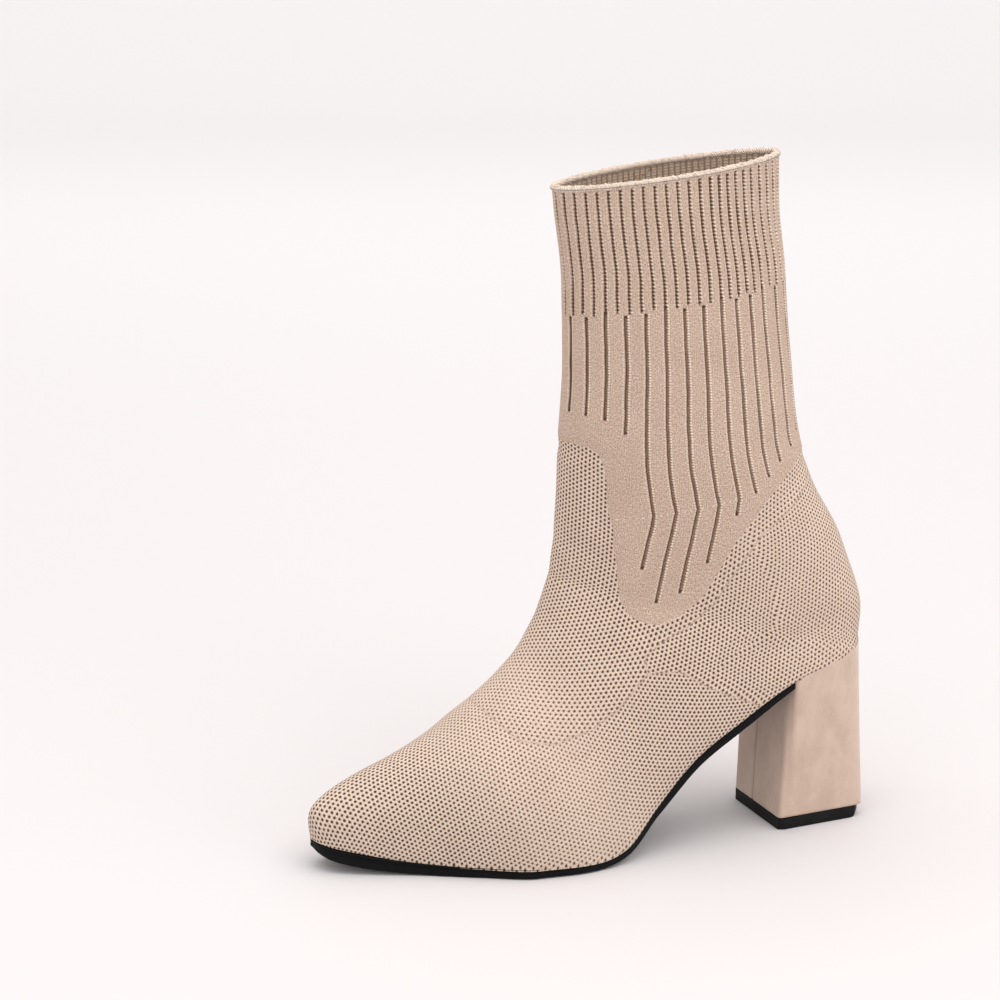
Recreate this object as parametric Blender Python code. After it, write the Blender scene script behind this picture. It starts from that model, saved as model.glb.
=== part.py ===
"""Sock boot for the left foot: a knitted upper over a pointed last, on a thin sole and a block heel.

Metres, +Z up, toe towards -Y, outer side of the foot towards +X. The origin is the middle of the
heel's ground face. The upper is one skin of sections fanned out from collar to toe. Each section lies
between a point of the front line and a point of the back line or, in the foot, of the sole line.
"""

import math

import bmesh
import bpy
import numpy as np

# Overall sizes
FOOT_LENGTH = 0.2430
BALL_WIDTH = 0.0720
WAIST_WIDTH = 0.0450
SEAT_WIDTH = 0.0530
HEEL_HEIGHT = 0.0820
INSTEP_HEIGHT = 0.1140
TOE_SPRING = 0.0080
TOE_SWING = 0.0250
BOOT_HEIGHT = 0.2910
COLLAR_DIP = 0.0110
COLLAR_WIDTH = 0.0420
ANKLE_WIDTH = 0.0580
SHAFT_DEPTH = 0.0975
ANKLE_DEPTH = 0.1370
SHAFT_LEAN = 0.0080
ARCH_CUT = 0.0022

# Thicknesses and clearances
WALL = 0.0018
RIM_BEAD = 0.0007
RIM_HEIGHT = 0.0022
LASTING_MARGIN = 0.0070
SOLE_THICKNESS = 0.0045
SHANK_THICKNESS = 0.0024
SOLE_EDGE = 0.0012
SOLE_CHAMFER = 0.0006
INSOLE_THICKNESS = 0.0016
INSOLE_PLAY = 0.0007
INSOLE_CHAMFER = 0.0002
FIT_GAP = 0.0003

# Heel
HEEL_TIP_WIDTH = 0.0400
HEEL_TIP_LENGTH = 0.0410
HEEL_TIP_THICKNESS = 0.0052
HEEL_TIP_CORNER = 0.0045
HEEL_TIP_CHAMFER = 0.0035
HEEL_OVERHANG = 0.0035
HEEL_WAIST = 0.0012
HEEL_EDGE = 0.0012

# Tape sewn inside the back of the shaft
TAPE_WIDTH = 0.0080
TAPE_THICKNESS = 0.0006
TAPE_LENGTH = 0.1000
TAPE_PLAY = 0.0008

HEEL_BACK = HEEL_TIP_LENGTH / 2 + HEEL_OVERHANG
ANKLE_FRONT = HEEL_BACK - ANKLE_DEPTH
SOLE_LINE = SOLE_THICKNESS + FIT_GAP
ANKLE_HEIGHT = SOLE_LINE + INSTEP_HEIGHT

# Shaft sections, collar first. front and back are shares of the rises of the front and back lines,
# lean of the shaft's depth, set_in of the shaft's step forward from the heel, back_in of its lean to the
# inner side, width of the growth from collar to ankle.
SHAFT_COLUMNS = ("front", "back", "lean", "set_in", "back_in", "width", "widest", "crown", "side")
SHAFT = (
    (1.000, 1.000, 0.000, 1.000, 1.00, 0.00, 0.500, 1.90, 1.90),
    (0.888, 0.900, 0.017, 0.985, 1.00, 0.15, 0.500, 1.90, 1.90),
    (0.739, 0.780, 0.028, 0.965, 0.92, 0.38, 0.495, 1.95, 1.95),
    (0.553, 0.627, 0.036, 0.920, 0.68, 0.65, 0.485, 1.95, 1.95),
    (0.379, 0.478, 0.038, 0.825, 0.40, 0.88, 0.470, 2.00, 2.00),
    (0.236, 0.340, 0.034, 0.625, 0.20, 1.00, 0.450, 2.00, 2.05),
    (0.137, 0.215, 0.024, 0.310, 0.08, 1.00, 0.430, 2.00, 2.12),
    (0.068, 0.120, 0.014, 0.070, 0.02, 0.98, 0.410, 2.00, 2.20),
    (0.031, 0.053, 0.006, -0.020, 0.00, 0.96, 0.395, 2.00, 2.26),
)

# Foot sections, heel first. length is a share of the foot's length, top_length of the length before the
# ankle, rise of the heel's height, spring of the toe's, top of the instep's, front_in of the shaft's lean.
# sole, outer and inner are halves, as shares of half the named breadth: at the sole line, and where the
# wall stands out most on the outer and inner side.
FOOT_COLUMNS = (
    "length", "rise", "spring", "top_length", "top", "front_in", "cut",
    "breadth", "sole", "outer", "inner", "widest", "crown", "side",
)
FOOT = (
    (0.000, 1.000, 0.00, 0.000, 1.000, 1.00, 0.0, SEAT_WIDTH, 0.000, 1.072, 1.072, 0.385, 2.00, 2.30),
    (0.029, 0.961, 0.00, 0.005, 0.980, 1.00, 0.0, SEAT_WIDTH, 0.585, 1.068, 1.068, 0.375, 2.00, 2.32),
    (0.086, 0.916, 0.00, 0.017, 0.945, 0.98, 0.0, SEAT_WIDTH, 0.925, 1.060, 1.058, 0.360, 2.00, 2.32),
    (0.173, 0.845, 0.00, 0.034, 0.897, 0.95, 0.2, SEAT_WIDTH, 1.000, 1.053, 1.045, 0.335, 2.00, 2.30),
    (0.272, 0.644, 0.00, 0.060, 0.840, 0.90, 0.7, WAIST_WIDTH, 1.044, 1.230, 1.204, 0.310, 2.00, 2.24),
    (0.354, 0.462, 0.00, 0.095, 0.774, 0.84, 1.1, WAIST_WIDTH, 0.978, 1.224, 1.196, 0.290, 2.00, 2.20),
    (0.428, 0.229, 0.00, 0.138, 0.708, 0.77, 1.2, WAIST_WIDTH, 1.044, 1.267, 1.236, 0.280, 2.00, 2.20),
    (0.498, 0.040, 0.00, 0.196, 0.642, 0.69, 1.1, BALL_WIDTH, 0.835, 0.895, 0.889, 0.280, 2.00, 2.20),
    (0.576, 0.000, 0.00, 0.270, 0.568, 0.60, 0.5, BALL_WIDTH, 0.980, 1.016, 1.016, 0.280, 2.00, 2.20),
    (0.658, 0.000, 0.00, 0.368, 0.492, 0.52, 0.0, BALL_WIDTH, 1.000, 1.036, 1.042, 0.280, 2.00, 2.20),
    (0.745, 0.000, 0.00, 0.488, 0.418, 0.46, 0.0, BALL_WIDTH, 0.792, 0.833, 0.855, 0.285, 2.00, 2.20),
    (0.831, 0.000, 0.09, 0.638, 0.343, 0.40, 0.0, BALL_WIDTH, 0.550, 0.592, 0.625, 0.300, 2.05, 2.20),
    (0.905, 0.000, 0.38, 0.780, 0.272, 0.28, 0.0, BALL_WIDTH, 0.394, 0.433, 0.455, 0.320, 2.10, 2.20),
    (0.963, 0.000, 0.72, 0.915, 0.186, 0.12, 0.0, BALL_WIDTH, 0.261, 0.303, 0.310, 0.340, 2.20, 2.20),
    (0.990, 0.000, 0.92, 0.992, 0.108, 0.02, 0.0, BALL_WIDTH, 0.144, 0.172, 0.172, 0.360, 2.20, 2.20),
    (1.000, 0.000, 1.00, 1.000, 0.000, 0.00, 0.0, BALL_WIDTH, 0.000, 0.000, 0.000, 0.400, 2.20, 2.20),
)
# Sole at the breast, shank, waist, ball, forepart and toe: its thickness and how far its edge stands out,
# at places counted in foot rows from the breast
SOLE_ROWS = (0.0, 1.0, 3.0, 4.5, 10.0, 12.0)
SOLE_FORM = (
    (0.5 * SHANK_THICKNESS, -0.3 * SOLE_EDGE),
    (1.0 * SHANK_THICKNESS, 0.0 * SOLE_EDGE),
    (1.0 * SHANK_THICKNESS, 0.3 * SOLE_EDGE),
    (1.0 * SOLE_THICKNESS, 1.0 * SOLE_EDGE),
    (1.0 * SOLE_THICKNESS, 0.9 * SOLE_EDGE),
    (0.8 * SOLE_THICKNESS, 0.3 * SOLE_EDGE),
)
HEEL_ROW = len(SHAFT)
BREAST_ROW = HEEL_ROW + 3
TOE_ROW = HEEL_ROW + len(FOOT) - 1
HEEL_BREAST = HEEL_BACK - FOOT[3][0] * FOOT_LENGTH + FIT_GAP

# Stations of the skin, counted in table rows: finer round the heel and the toe
RIM_ROWS = RIM_HEIGHT / ((1 - SHAFT[1][1]) * (BOOT_HEIGHT - HEEL_HEIGHT))
STATIONS = np.concatenate([
    RIM_ROWS * np.array([0, 0.2, 0.5, 0.8, 1.0]),
    np.arange(1, HEEL_ROW - 3, 1.0),
    np.arange(HEEL_ROW - 3, TOE_ROW + 0.25, 0.5),
])
LOW_STEPS = 6
HIGH_STEPS = 14
LOW_PART = 0.34


def column(name):
    """The foot table's column of that name."""
    return np.array([row[FOOT_COLUMNS.index(name)] for row in FOOT])


def shaft_column(name):
    """The shaft table's column of that name."""
    return np.array([row[SHAFT_COLUMNS.index(name)] for row in SHAFT])


def through(values, at):
    """Smooth curve through values at rows 0, 1, 2 ...: cubic pieces. The slope at a row is that of the
    chord between its two neighbours, or level where the values turn or stay."""
    values = np.asarray(values, float)
    steps = np.diff(values)
    slopes = np.gradient(values)
    slopes[1:-1] *= steps[:-1] * steps[1:] > 0
    row = np.clip(np.floor(at).astype(int), 0, len(values) - 2)
    t = at - row
    rise = values[row + 1] - values[row]
    start = values[row] + t * (slopes[row] + t * (3 * rise - 2 * slopes[row] - slopes[row + 1]))
    return start + t ** 3 * (slopes[row] + slopes[row + 1] - 2 * rise)


def joined(shaft, foot, at, kink=False):
    """A value along shaft and foot. With kink, the two stretches meet in a corner at the heel."""
    if not kink:
        return through(np.concatenate([shaft, foot]), at)
    above = through(np.append(shaft, foot[0]), np.minimum(at, HEEL_ROW))
    below = through(foot, np.maximum(at - HEEL_ROW, 0))
    return np.where(at < HEEL_ROW, above, below)


def last(at):
    """Sizes of the section at each station: front and back points, half widths and roundness."""
    at = np.asarray(at, float)
    shaft = {name: shaft_column(name) for name in SHAFT_COLUMNS}
    foot = {name: column(name) for name in FOOT_COLUMNS}
    rise_front = BOOT_HEIGHT - COLLAR_DIP - ANKLE_HEIGHT
    rise_back = BOOT_HEIGHT - HEEL_HEIGHT
    shaft_half = (COLLAR_WIDTH + shaft["width"] * (ANKLE_WIDTH - COLLAR_WIDTH)) / 2
    spring = SOLE_LINE + foot["spring"] * TOE_SPRING
    half = foot["breadth"] / 2
    none = np.zeros(len(SHAFT))
    depth = at * (1 - SHAFT[1][1]) * rise_back
    bead = RIM_BEAD * np.sqrt(np.maximum(1 - (2 * depth / RIM_HEIGHT - 1) ** 2, 0))
    form = {
        "front_y": joined(
            ANKLE_FRONT + shaft["lean"] * SHAFT_DEPTH,
            ANKLE_FRONT - foot["top_length"] * (FOOT_LENGTH - ANKLE_DEPTH), at),
        "front_z": joined(ANKLE_HEIGHT + shaft["front"] * rise_front, spring + foot["top"] * INSTEP_HEIGHT, at),
        "back_y": joined(
            HEEL_BACK - shaft["set_in"] * (ANKLE_DEPTH - SHAFT_DEPTH),
            HEEL_BACK - foot["length"] * FOOT_LENGTH, at, kink=True),
        "back_z": joined(
            HEEL_HEIGHT + shaft["back"] * rise_back,
            spring + foot["rise"] * (HEEL_HEIGHT - SOLE_LINE), at, kink=True),
        "front_in": joined(none + 1, foot["front_in"], at) * SHAFT_LEAN,
        "back_in": joined(shaft["back_in"] * SHAFT_LEAN, -foot["cut"] * ARCH_CUT, at),
        "sole": joined(none, foot["sole"] * half, at, kink=True),
        "outer": joined(shaft_half, foot["outer"] * half, at),
        "inner": joined(shaft_half, foot["inner"] * half, at),
        "widest": joined(shaft["widest"], foot["widest"], at),
        "crown": joined(shaft["crown"], foot["crown"], at),
        "side": joined(shaft["side"], foot["side"], at),
    }
    form["front_y"] -= bead
    form["back_y"] += bead
    form["outer"] += bead
    form["inner"] += bead
    return form


def spine(y):
    """Middle line of the boot seen from above: straight over the heel, swinging inwards to the toe."""
    toe = HEEL_BACK - FOOT_LENGTH
    start = HEEL_TIP_LENGTH / 2
    share = np.clip((start - y) / (start - toe), 0, 1)
    return -TOE_SWING * share ** 1.8


def skin(at, around):
    """Points of the boot's outer skin.

    around runs from -1 at the inner sole line over 0 at the front line to +1 at the outer sole line.
    Below the widest level the half width grows from the sole line as a quarter of a superellipse,
    above it the half width shrinks to the front line as another.
    """
    at, around = np.broadcast_arrays(np.asarray(at, float), np.asarray(around, float))
    form = last(at)
    up = 1 - np.abs(around)
    wide = np.where(around < 0, form["inner"], form["outer"])
    low = np.clip(up / LOW_PART, 0, 1) * math.pi / 2
    high = np.clip((up - LOW_PART) / (1 - LOW_PART), 0, 1) * math.pi / 2
    low_half = form["sole"] + (wide - form["sole"]) * np.sin(low) ** (2 / form["side"])
    low_rise = form["widest"] * (1 - np.cos(low) ** (2 / form["side"]))
    high_half = wide * np.cos(high) ** (2 / form["crown"])
    high_rise = form["widest"] + (1 - form["widest"]) * np.sin(high) ** (2 / form["crown"])
    half = np.where(up < LOW_PART, low_half, high_half)
    rise = np.where(up < LOW_PART, low_rise, high_rise)
    y = form["back_y"] + (form["front_y"] - form["back_y"]) * rise
    z = form["back_z"] + (form["front_z"] - form["back_z"]) * rise
    inwards = form["back_in"] + (form["front_in"] - form["back_in"]) * rise
    return np.stack([spine(y) - inwards + np.sign(around) * half, y, z], -1)


def grid_mesh(name, points, faces, material):
    """Object from points and faces, with doubled points merged and normals facing out."""
    mesh = bpy.data.meshes.new(name)
    mesh.from_pydata(points.tolist(), [], faces)
    work = bmesh.new()
    work.from_mesh(mesh)
    bmesh.ops.remove_doubles(work, verts=work.verts, dist=0.00001)
    bmesh.ops.dissolve_degenerate(work, edges=work.edges, dist=0.00001)
    bmesh.ops.recalc_face_normals(work, faces=work.faces)
    work.to_mesh(mesh)
    work.free()
    mesh.shade_smooth()
    mesh.set_sharp_from_angle(angle=math.radians(40))
    piece = bpy.data.objects.new(name, mesh)
    piece.data.materials.append(material)
    bpy.context.scene.collection.objects.link(piece)
    return piece


def quads(rows, columns, closed=False):
    """Faces of a grid of points, row by row. With closed, the last column joins the first."""
    faces = []
    for i in range(rows - 1):
        for j in range(columns if closed else columns - 1):
            k = (j + 1) % columns
            faces.append((i * columns + j, i * columns + k, (i + 1) * columns + k, (i + 1) * columns + j))
    return faces


def material(name, colour, roughness, metallic=0.0):
    """Plain material with one colour."""
    made = bpy.data.materials.new(name)
    made.use_nodes = True
    shader = made.node_tree.nodes["Principled BSDF"]
    shader.inputs["Base Color"].default_value = (*colour, 1)
    shader.inputs["Roughness"].default_value = roughness
    shader.inputs["Metallic"].default_value = metallic
    return made


def clear_scene():
    """Take away every object that the scene starts with."""
    for piece in list(bpy.data.objects):
        bpy.data.objects.remove(piece, do_unlink=True)


def hole_half(sole):
    """Half width of the opening under the foot, the lasting margin in from a rounded outline."""
    reach = LASTING_MARGIN * (SEAT_WIDTH - LASTING_MARGIN)
    return np.sqrt(np.maximum(sole ** 2 - reach, 0))


def make_upper(cloth):
    """Knitted upper: the skin with its margin turned in under the foot, thickened inwards to the wall."""
    low = np.linspace(0, LOW_PART, LOW_STEPS + 1)
    up = np.concatenate([low, np.linspace(LOW_PART, 1, HIGH_STEPS + 1)[1:]])
    around = np.concatenate([up - 1, (1 - up[:-1])[::-1]])
    rows = STATIONS[:, None]
    wall = skin(rows, around[None, :])
    form = last(STATIONS)
    hole = hole_half(form["sole"])
    middle = spine(form["back_y"]) - form["back_in"]
    edges = [
        np.stack([middle + side * hole, form["back_y"], form["back_z"]], -1)[:, None, :]
        for side in (-1, 1)
    ]
    points = np.concatenate([edges[0], wall, edges[1]], 1)
    piece = grid_mesh("upper", points.reshape(-1, 3), quads(*points.shape[:2]), cloth)
    skin_wall = piece.modifiers.new("wall", "SOLIDIFY")
    skin_wall.thickness = WALL
    skin_wall.offset = -1
    skin_wall.use_even_offset = True
    skin_wall.use_quality_normals = True
    return piece


def sole_line(at, outset):
    """Outer and inner points of the sole line, moved outwards in plan by outset."""
    fine = np.linspace(HEEL_ROW, TOE_ROW, 20 * len(FOOT))
    form = last(fine)
    sides = []
    for sign in (1, -1):
        middle = spine(form["back_y"]) - form["back_in"]
        line = np.stack([middle + sign * form["sole"], form["back_y"]], -1)
        run = np.gradient(line, axis=0)
        out = np.stack([-run[:, 1], run[:, 0]], -1) * sign
        out = out / np.maximum(np.linalg.norm(out, axis=1), 1e-12)[:, None]
        out[0] = (0, 1)
        out[-1] = (0, -1)
        line = line + out * np.interp(fine, at, outset)[:, None]
        sides.append(np.stack([np.interp(at, fine, line[:, k]) for k in (0, 1)], -1))
    return sides


def sole_height(y, off=0.0):
    """Height of the sole line at a place along the foot, or of a face that lies off above it."""
    under = last(STATIONS[STATIONS >= HEEL_ROW])
    slope = np.gradient(under["back_z"], under["back_y"])
    steep = np.interp(y, under["back_y"][::-1], np.sqrt(1 + slope ** 2)[::-1])
    return np.interp(y, under["back_y"][::-1], under["back_z"][::-1]) + off * steep


def slab(name, at, outset, above, below, chamfer, finish, across=6):
    """Sheet that follows the sole line, from above to below it, with a chamfered lower edge."""
    outer, inner = sole_line(at, outset)
    outer_low, inner_low = sole_line(at, outset - chamfer)
    share = np.linspace(0, 1, across + 1)[None, :, None]
    top = inner[:, None] + (outer - inner)[:, None] * share
    low = inner_low[:, None] + (outer_low - inner_low)[:, None] * share
    top = np.concatenate([top, sole_height(top[..., 1], above)[..., None]], -1)
    low = np.concatenate([low, sole_height(low[..., 1], below[:, None])[..., None]], -1)
    sides = [edge[:, None].copy() for edge in (inner, outer)]
    lift = below[:, None] + chamfer
    sides = [np.concatenate([s, sole_height(s[..., 1], lift)[..., None]], -1) for s in sides]
    ring = np.concatenate([top, sides[1], low[:, ::-1], sides[0]], 1)
    faces = quads(ring.shape[0], ring.shape[1], closed=True)
    count = ring.shape[1]
    for row in (0, ring.shape[0] - 1):
        if np.ptp(ring[row, :, 0]) < FIT_GAP:
            continue
        cap = [row * count + k for k in range(count)]
        upper, lower = cap[:across + 1], cap[across + 2:2 * across + 3][::-1]
        faces += [(upper[k], upper[k + 1], lower[k + 1], lower[k]) for k in range(across)]
        faces += [(upper[0], lower[0], cap[-1]), (upper[-1], cap[across + 1], lower[-1])]
    return grid_mesh(name, ring.reshape(-1, 3), faces, finish)


def make_outsole(rubber):
    """Thin sole: flat at the ball, sprung at the toe, rising as the shank to the heel's breast."""
    at = np.concatenate([np.arange(BREAST_ROW, TOE_ROW - 3, 0.5), np.arange(TOE_ROW - 3, TOE_ROW + 0.1, 0.25)])
    place = at - BREAST_ROW
    thick = np.interp(place, SOLE_ROWS, [row[0] for row in SOLE_FORM])
    edge = np.interp(place, SOLE_ROWS, [row[1] for row in SOLE_FORM])
    return slab("outsole", at, edge, -FIT_GAP, -FIT_GAP - thick, SOLE_CHAMFER, rubber)


def make_insole(lining):
    """Insole board lying on the turned-in margin, clear of the wall all round."""
    at = STATIONS[STATIONS >= HEEL_ROW]
    edge = np.full(len(at), -WALL - INSOLE_PLAY)
    low = np.full(len(at), WALL + FIT_GAP)
    return slab("insole", at, edge, WALL + FIT_GAP + INSOLE_THICKNESS, low, INSOLE_CHAMFER, lining)


def evenly(line, count):
    """Points at even distances along a line of points."""
    run = np.concatenate([[0], np.cumsum(np.linalg.norm(np.diff(line, axis=0), axis=1))])
    at = np.linspace(0, run[-1], count)
    return np.stack([np.interp(at, run, line[:, k]) for k in range(line.shape[1])], -1)


def ground_outline(steps):
    """Plan of the heel's ground face, from the inner front corner round the back to the outer one."""
    half_x, half_y, corner = HEEL_TIP_WIDTH / 2, HEEL_TIP_LENGTH / 2, HEEL_TIP_CORNER
    turn = np.linspace(0, math.pi / 2, 7)
    arc = np.stack([half_x - corner + corner * np.sin(turn), half_y - corner + corner * np.cos(turn)], -1)
    outer = np.concatenate([[[0, half_y]], arc, [[half_x, -half_y + HEEL_EDGE], [half_x - HEEL_EDGE, -half_y]]])
    return evenly(np.concatenate([outer[:0:-1] * (-1, 1), outer]), steps)


def seat_outline(steps):
    """Plan of the heel seat, along the sole line, from the inner breast corner to the outer one."""
    at = np.linspace(HEEL_ROW, BREAST_ROW, 60)
    outer, inner = sole_line(at, np.zeros(len(at)))
    half = (outer[:, 0] - inner[:, 0]) / 2
    middle = (outer[:, 0] + inner[:, 0]) / 2
    y = np.maximum(outer[:, 1], HEEL_BREAST)
    side = np.stack([half, y], -1)
    side = np.concatenate([side[:-1], [[half[-1], y[-1] + HEEL_EDGE], [half[-1] - HEEL_EDGE, y[-1]]]])
    keep = np.concatenate([side[:-2, 1] > y[-1] + HEEL_EDGE, [True, True]])
    side = side[keep]
    shift = np.interp(side[:, 1], y[::-1], middle[::-1])
    line = evenly(np.concatenate([side[:0:-1] * (-1, 1), side]), steps)
    line[:, 0] += np.interp(line[:, 1], side[::-1, 1], shift[::-1])
    return line


def make_heel_block(cloth):
    """Covered block heel: the ground outline lofted up to the seat outline, slightly waisted."""
    steps, levels = 41, 9
    low, top = ground_outline(steps), seat_outline(steps)
    share = np.linspace(0, 1, levels)[:, None, None]
    plan = low + (top - low) * share ** 1.15
    pull = 1 - 2 * HEEL_WAIST / HEEL_TIP_WIDTH * np.sin(math.pi * share)
    plan = plan * pull
    floor = HEEL_TIP_THICKNESS + FIT_GAP
    seat = sole_height(top[:, 1], -FIT_GAP)
    height = floor + (seat - floor) * share[..., 0]
    points = np.concatenate([plan, height[..., None]], -1)
    faces = quads(levels, steps, closed=True)
    last_row = (levels - 1) * steps
    faces.append(tuple(range(steps)))
    faces += [
        (last_row + k, last_row + k + 1, last_row + steps - 2 - k, last_row + steps - 1 - k)
        for k in range(steps // 2)
    ]
    return grid_mesh("heel_block", points.reshape(-1, 3), faces, cloth)


def make_heel_tip(rubber):
    """Top piece that the heel walks on, its back edge cut off at a slant."""
    outline = ground_outline(41)
    start = HEEL_TIP_LENGTH / 2 - HEEL_TIP_CHAMFER
    rise = np.maximum(outline[:, 1] - start, 0)
    ground = np.stack([outline[:, 0], np.minimum(outline[:, 1], start), 0 * rise], -1)
    edge = np.stack([outline[:, 0], outline[:, 1], rise], -1)
    top = np.stack([outline[:, 0], outline[:, 1], 0 * rise + HEEL_TIP_THICKNESS], -1)
    points = np.stack([ground, edge, top])
    count = len(outline)
    faces = quads(3, count, closed=True) + [tuple(range(count)), tuple(range(2 * count, 3 * count))]
    return grid_mesh("heel_tip", points.reshape(-1, 3), faces, rubber)


def make_back_tape(cloth):
    """Tape that covers the back seam inside the shaft, lying along the wall."""
    rise_back = BOOT_HEIGHT - HEEL_HEIGHT
    reach = TAPE_LENGTH / rise_back
    at = np.interp(np.linspace(RIM_ROWS, reach, 12), 1 - shaft_column("back"), np.arange(len(SHAFT)))
    form = last(at)
    x = np.linspace(-TAPE_WIDTH / 2, TAPE_WIDTH / 2, 7)[None, :]
    wide = form["outer"][:, None]
    turn = np.arcsin((np.abs(x) / wide) ** (form["side"][:, None] / 2))
    rise = form["widest"][:, None] * (1 - np.cos(turn) ** (2 / form["side"][:, None]))
    y = form["back_y"][:, None] + (form["front_y"] - form["back_y"])[:, None] * rise
    z = form["back_z"][:, None] + (form["front_z"] - form["back_z"])[:, None] * rise
    face = np.stack([spine(y) - form["back_in"][:, None] + x, y, z], -1)
    normal = np.cross(np.gradient(face, axis=0), np.gradient(face, axis=1))
    normal /= np.linalg.norm(normal, axis=-1, keepdims=True)
    normal *= -np.sign(normal[..., 1:2])
    near = face + normal * (WALL + TAPE_PLAY)
    far = near + normal * TAPE_THICKNESS
    ring = np.concatenate([near, far[:, ::-1]], 1)
    rows, columns = ring.shape[:2]
    faces = quads(rows, columns, closed=True)
    half = columns // 2
    for row in (0, rows - 1):
        base = row * columns
        faces += [(base + k, base + k + 1, base + columns - 2 - k, base + columns - 1 - k) for k in range(half - 1)]
    return grid_mesh("back_tape", ring.reshape(-1, 3), faces, cloth)


clear_scene()
knit = material("knit", (0.52, 0.42, 0.32), 0.85)
black = material("sole_black", (0.012, 0.012, 0.013), 0.35)
suede = material("heel_suede", (0.45, 0.35, 0.28), 0.9)
lining = material("insole_lining", (0.42, 0.34, 0.26), 0.8)
ribbon = material("back_ribbon", (0.75, 0.74, 0.70), 0.8)
make_upper(knit)
make_outsole(black)
make_insole(lining)
make_heel_block(suede)
make_heel_tip(black)
make_back_tape(ribbon)
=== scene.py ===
# %% [markdown]
# # Sock boot: the looks around the CAD frame
# The frame holds six plain solids. This lesson dresses them: the knitted upper gets its ribs, its smooth
# bib and its mesh of small holes, and the heel, sole and tape get finer bodies and real materials. All
# new forms are surfaces worked out from two parameters, in the boot's own sizes, so nothing is sculpted
# by eye and everything stays on the last of the CAD model.

import math

import bpy
import numpy as np
from mathutils import Matrix, Vector


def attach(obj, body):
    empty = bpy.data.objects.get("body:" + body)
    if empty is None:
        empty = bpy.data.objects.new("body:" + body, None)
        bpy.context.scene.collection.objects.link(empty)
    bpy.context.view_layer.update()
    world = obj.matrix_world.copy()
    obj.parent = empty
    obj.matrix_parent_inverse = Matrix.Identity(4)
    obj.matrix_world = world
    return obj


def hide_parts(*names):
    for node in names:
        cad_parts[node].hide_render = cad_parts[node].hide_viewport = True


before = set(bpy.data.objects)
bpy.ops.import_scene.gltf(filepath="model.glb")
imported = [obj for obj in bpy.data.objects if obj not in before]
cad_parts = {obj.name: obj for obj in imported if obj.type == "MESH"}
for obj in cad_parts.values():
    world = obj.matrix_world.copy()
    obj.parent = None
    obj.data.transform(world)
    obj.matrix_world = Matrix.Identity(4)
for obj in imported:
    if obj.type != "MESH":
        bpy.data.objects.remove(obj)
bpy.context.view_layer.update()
print("frame nodes:", ", ".join(sorted(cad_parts)))

# %% [markdown]
# ## The last, repeated
# The CAD source can't be read from here, so its sizes and its two tables of sections are written again.
# Metres, toe towards -Y, outer side towards +X. A station runs along the sock in table rows: 0 is the
# collar, HEEL_ROW the heel's lowest point at the back, TOE_ROW the toe.

# %% Sizes of the last
FOOT_LENGTH, BALL_WIDTH, WAIST_WIDTH, SEAT_WIDTH = 0.2430, 0.0720, 0.0450, 0.0530
HEEL_HEIGHT, INSTEP_HEIGHT, TOE_SPRING, TOE_SWING = 0.0820, 0.1140, 0.0080, 0.0250
BOOT_HEIGHT, COLLAR_DIP, COLLAR_WIDTH, ANKLE_WIDTH = 0.2910, 0.0110, 0.0420, 0.0580
SHAFT_DEPTH, ANKLE_DEPTH, SHAFT_LEAN, ARCH_CUT = 0.0975, 0.1370, 0.0080, 0.0022
WALL, RIM_BEAD, RIM_HEIGHT, LASTING_MARGIN = 0.0018, 0.0007, 0.0022, 0.0070
SOLE_THICKNESS, SHANK_THICKNESS, SOLE_EDGE = 0.0045, 0.0024, 0.0012
INSOLE_THICKNESS, INSOLE_PLAY, FIT_GAP = 0.0016, 0.0007, 0.0003
HEEL_TIP_WIDTH, HEEL_TIP_LENGTH, HEEL_TIP_THICKNESS = 0.0400, 0.0410, 0.0052
HEEL_TIP_CORNER, HEEL_OVERHANG, HEEL_WAIST = 0.0045, 0.0035, 0.0012
TAPE_WIDTH, TAPE_THICKNESS, TAPE_LENGTH, TAPE_PLAY = 0.0080, 0.0006, 0.1000, 0.0008
HEEL_BACK = HEEL_TIP_LENGTH / 2 + HEEL_OVERHANG
ANKLE_FRONT = HEEL_BACK - ANKLE_DEPTH
SOLE_LINE = SOLE_THICKNESS + FIT_GAP
ANKLE_HEIGHT = SOLE_LINE + INSTEP_HEIGHT
MM = 0.001
print(f"boot: {FOOT_LENGTH / MM:.0f} mm long and {BOOT_HEIGHT / MM:.0f} mm high")

# %% Section tables of the last
SHAFT_COLUMNS = ("front", "back", "lean", "set_in", "back_in", "width", "widest", "crown", "side")
SHAFT = (
    (1.000, 1.000, 0.000, 1.000, 1.00, 0.00, 0.500, 1.90, 1.90),
    (0.888, 0.900, 0.017, 0.985, 1.00, 0.15, 0.500, 1.90, 1.90),
    (0.739, 0.780, 0.028, 0.965, 0.92, 0.38, 0.495, 1.95, 1.95),
    (0.553, 0.627, 0.036, 0.920, 0.68, 0.65, 0.485, 1.95, 1.95),
    (0.379, 0.478, 0.038, 0.825, 0.40, 0.88, 0.470, 2.00, 2.00),
    (0.236, 0.340, 0.034, 0.625, 0.20, 1.00, 0.450, 2.00, 2.05),
    (0.137, 0.215, 0.024, 0.310, 0.08, 1.00, 0.430, 2.00, 2.12),
    (0.068, 0.120, 0.014, 0.070, 0.02, 0.98, 0.410, 2.00, 2.20),
    (0.031, 0.053, 0.006, -0.020, 0.00, 0.96, 0.395, 2.00, 2.26),
)
FOOT_COLUMNS = (
    "length", "rise", "spring", "top_length", "top", "front_in", "cut",
    "breadth", "sole", "outer", "inner", "widest", "crown", "side",
)
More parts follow.
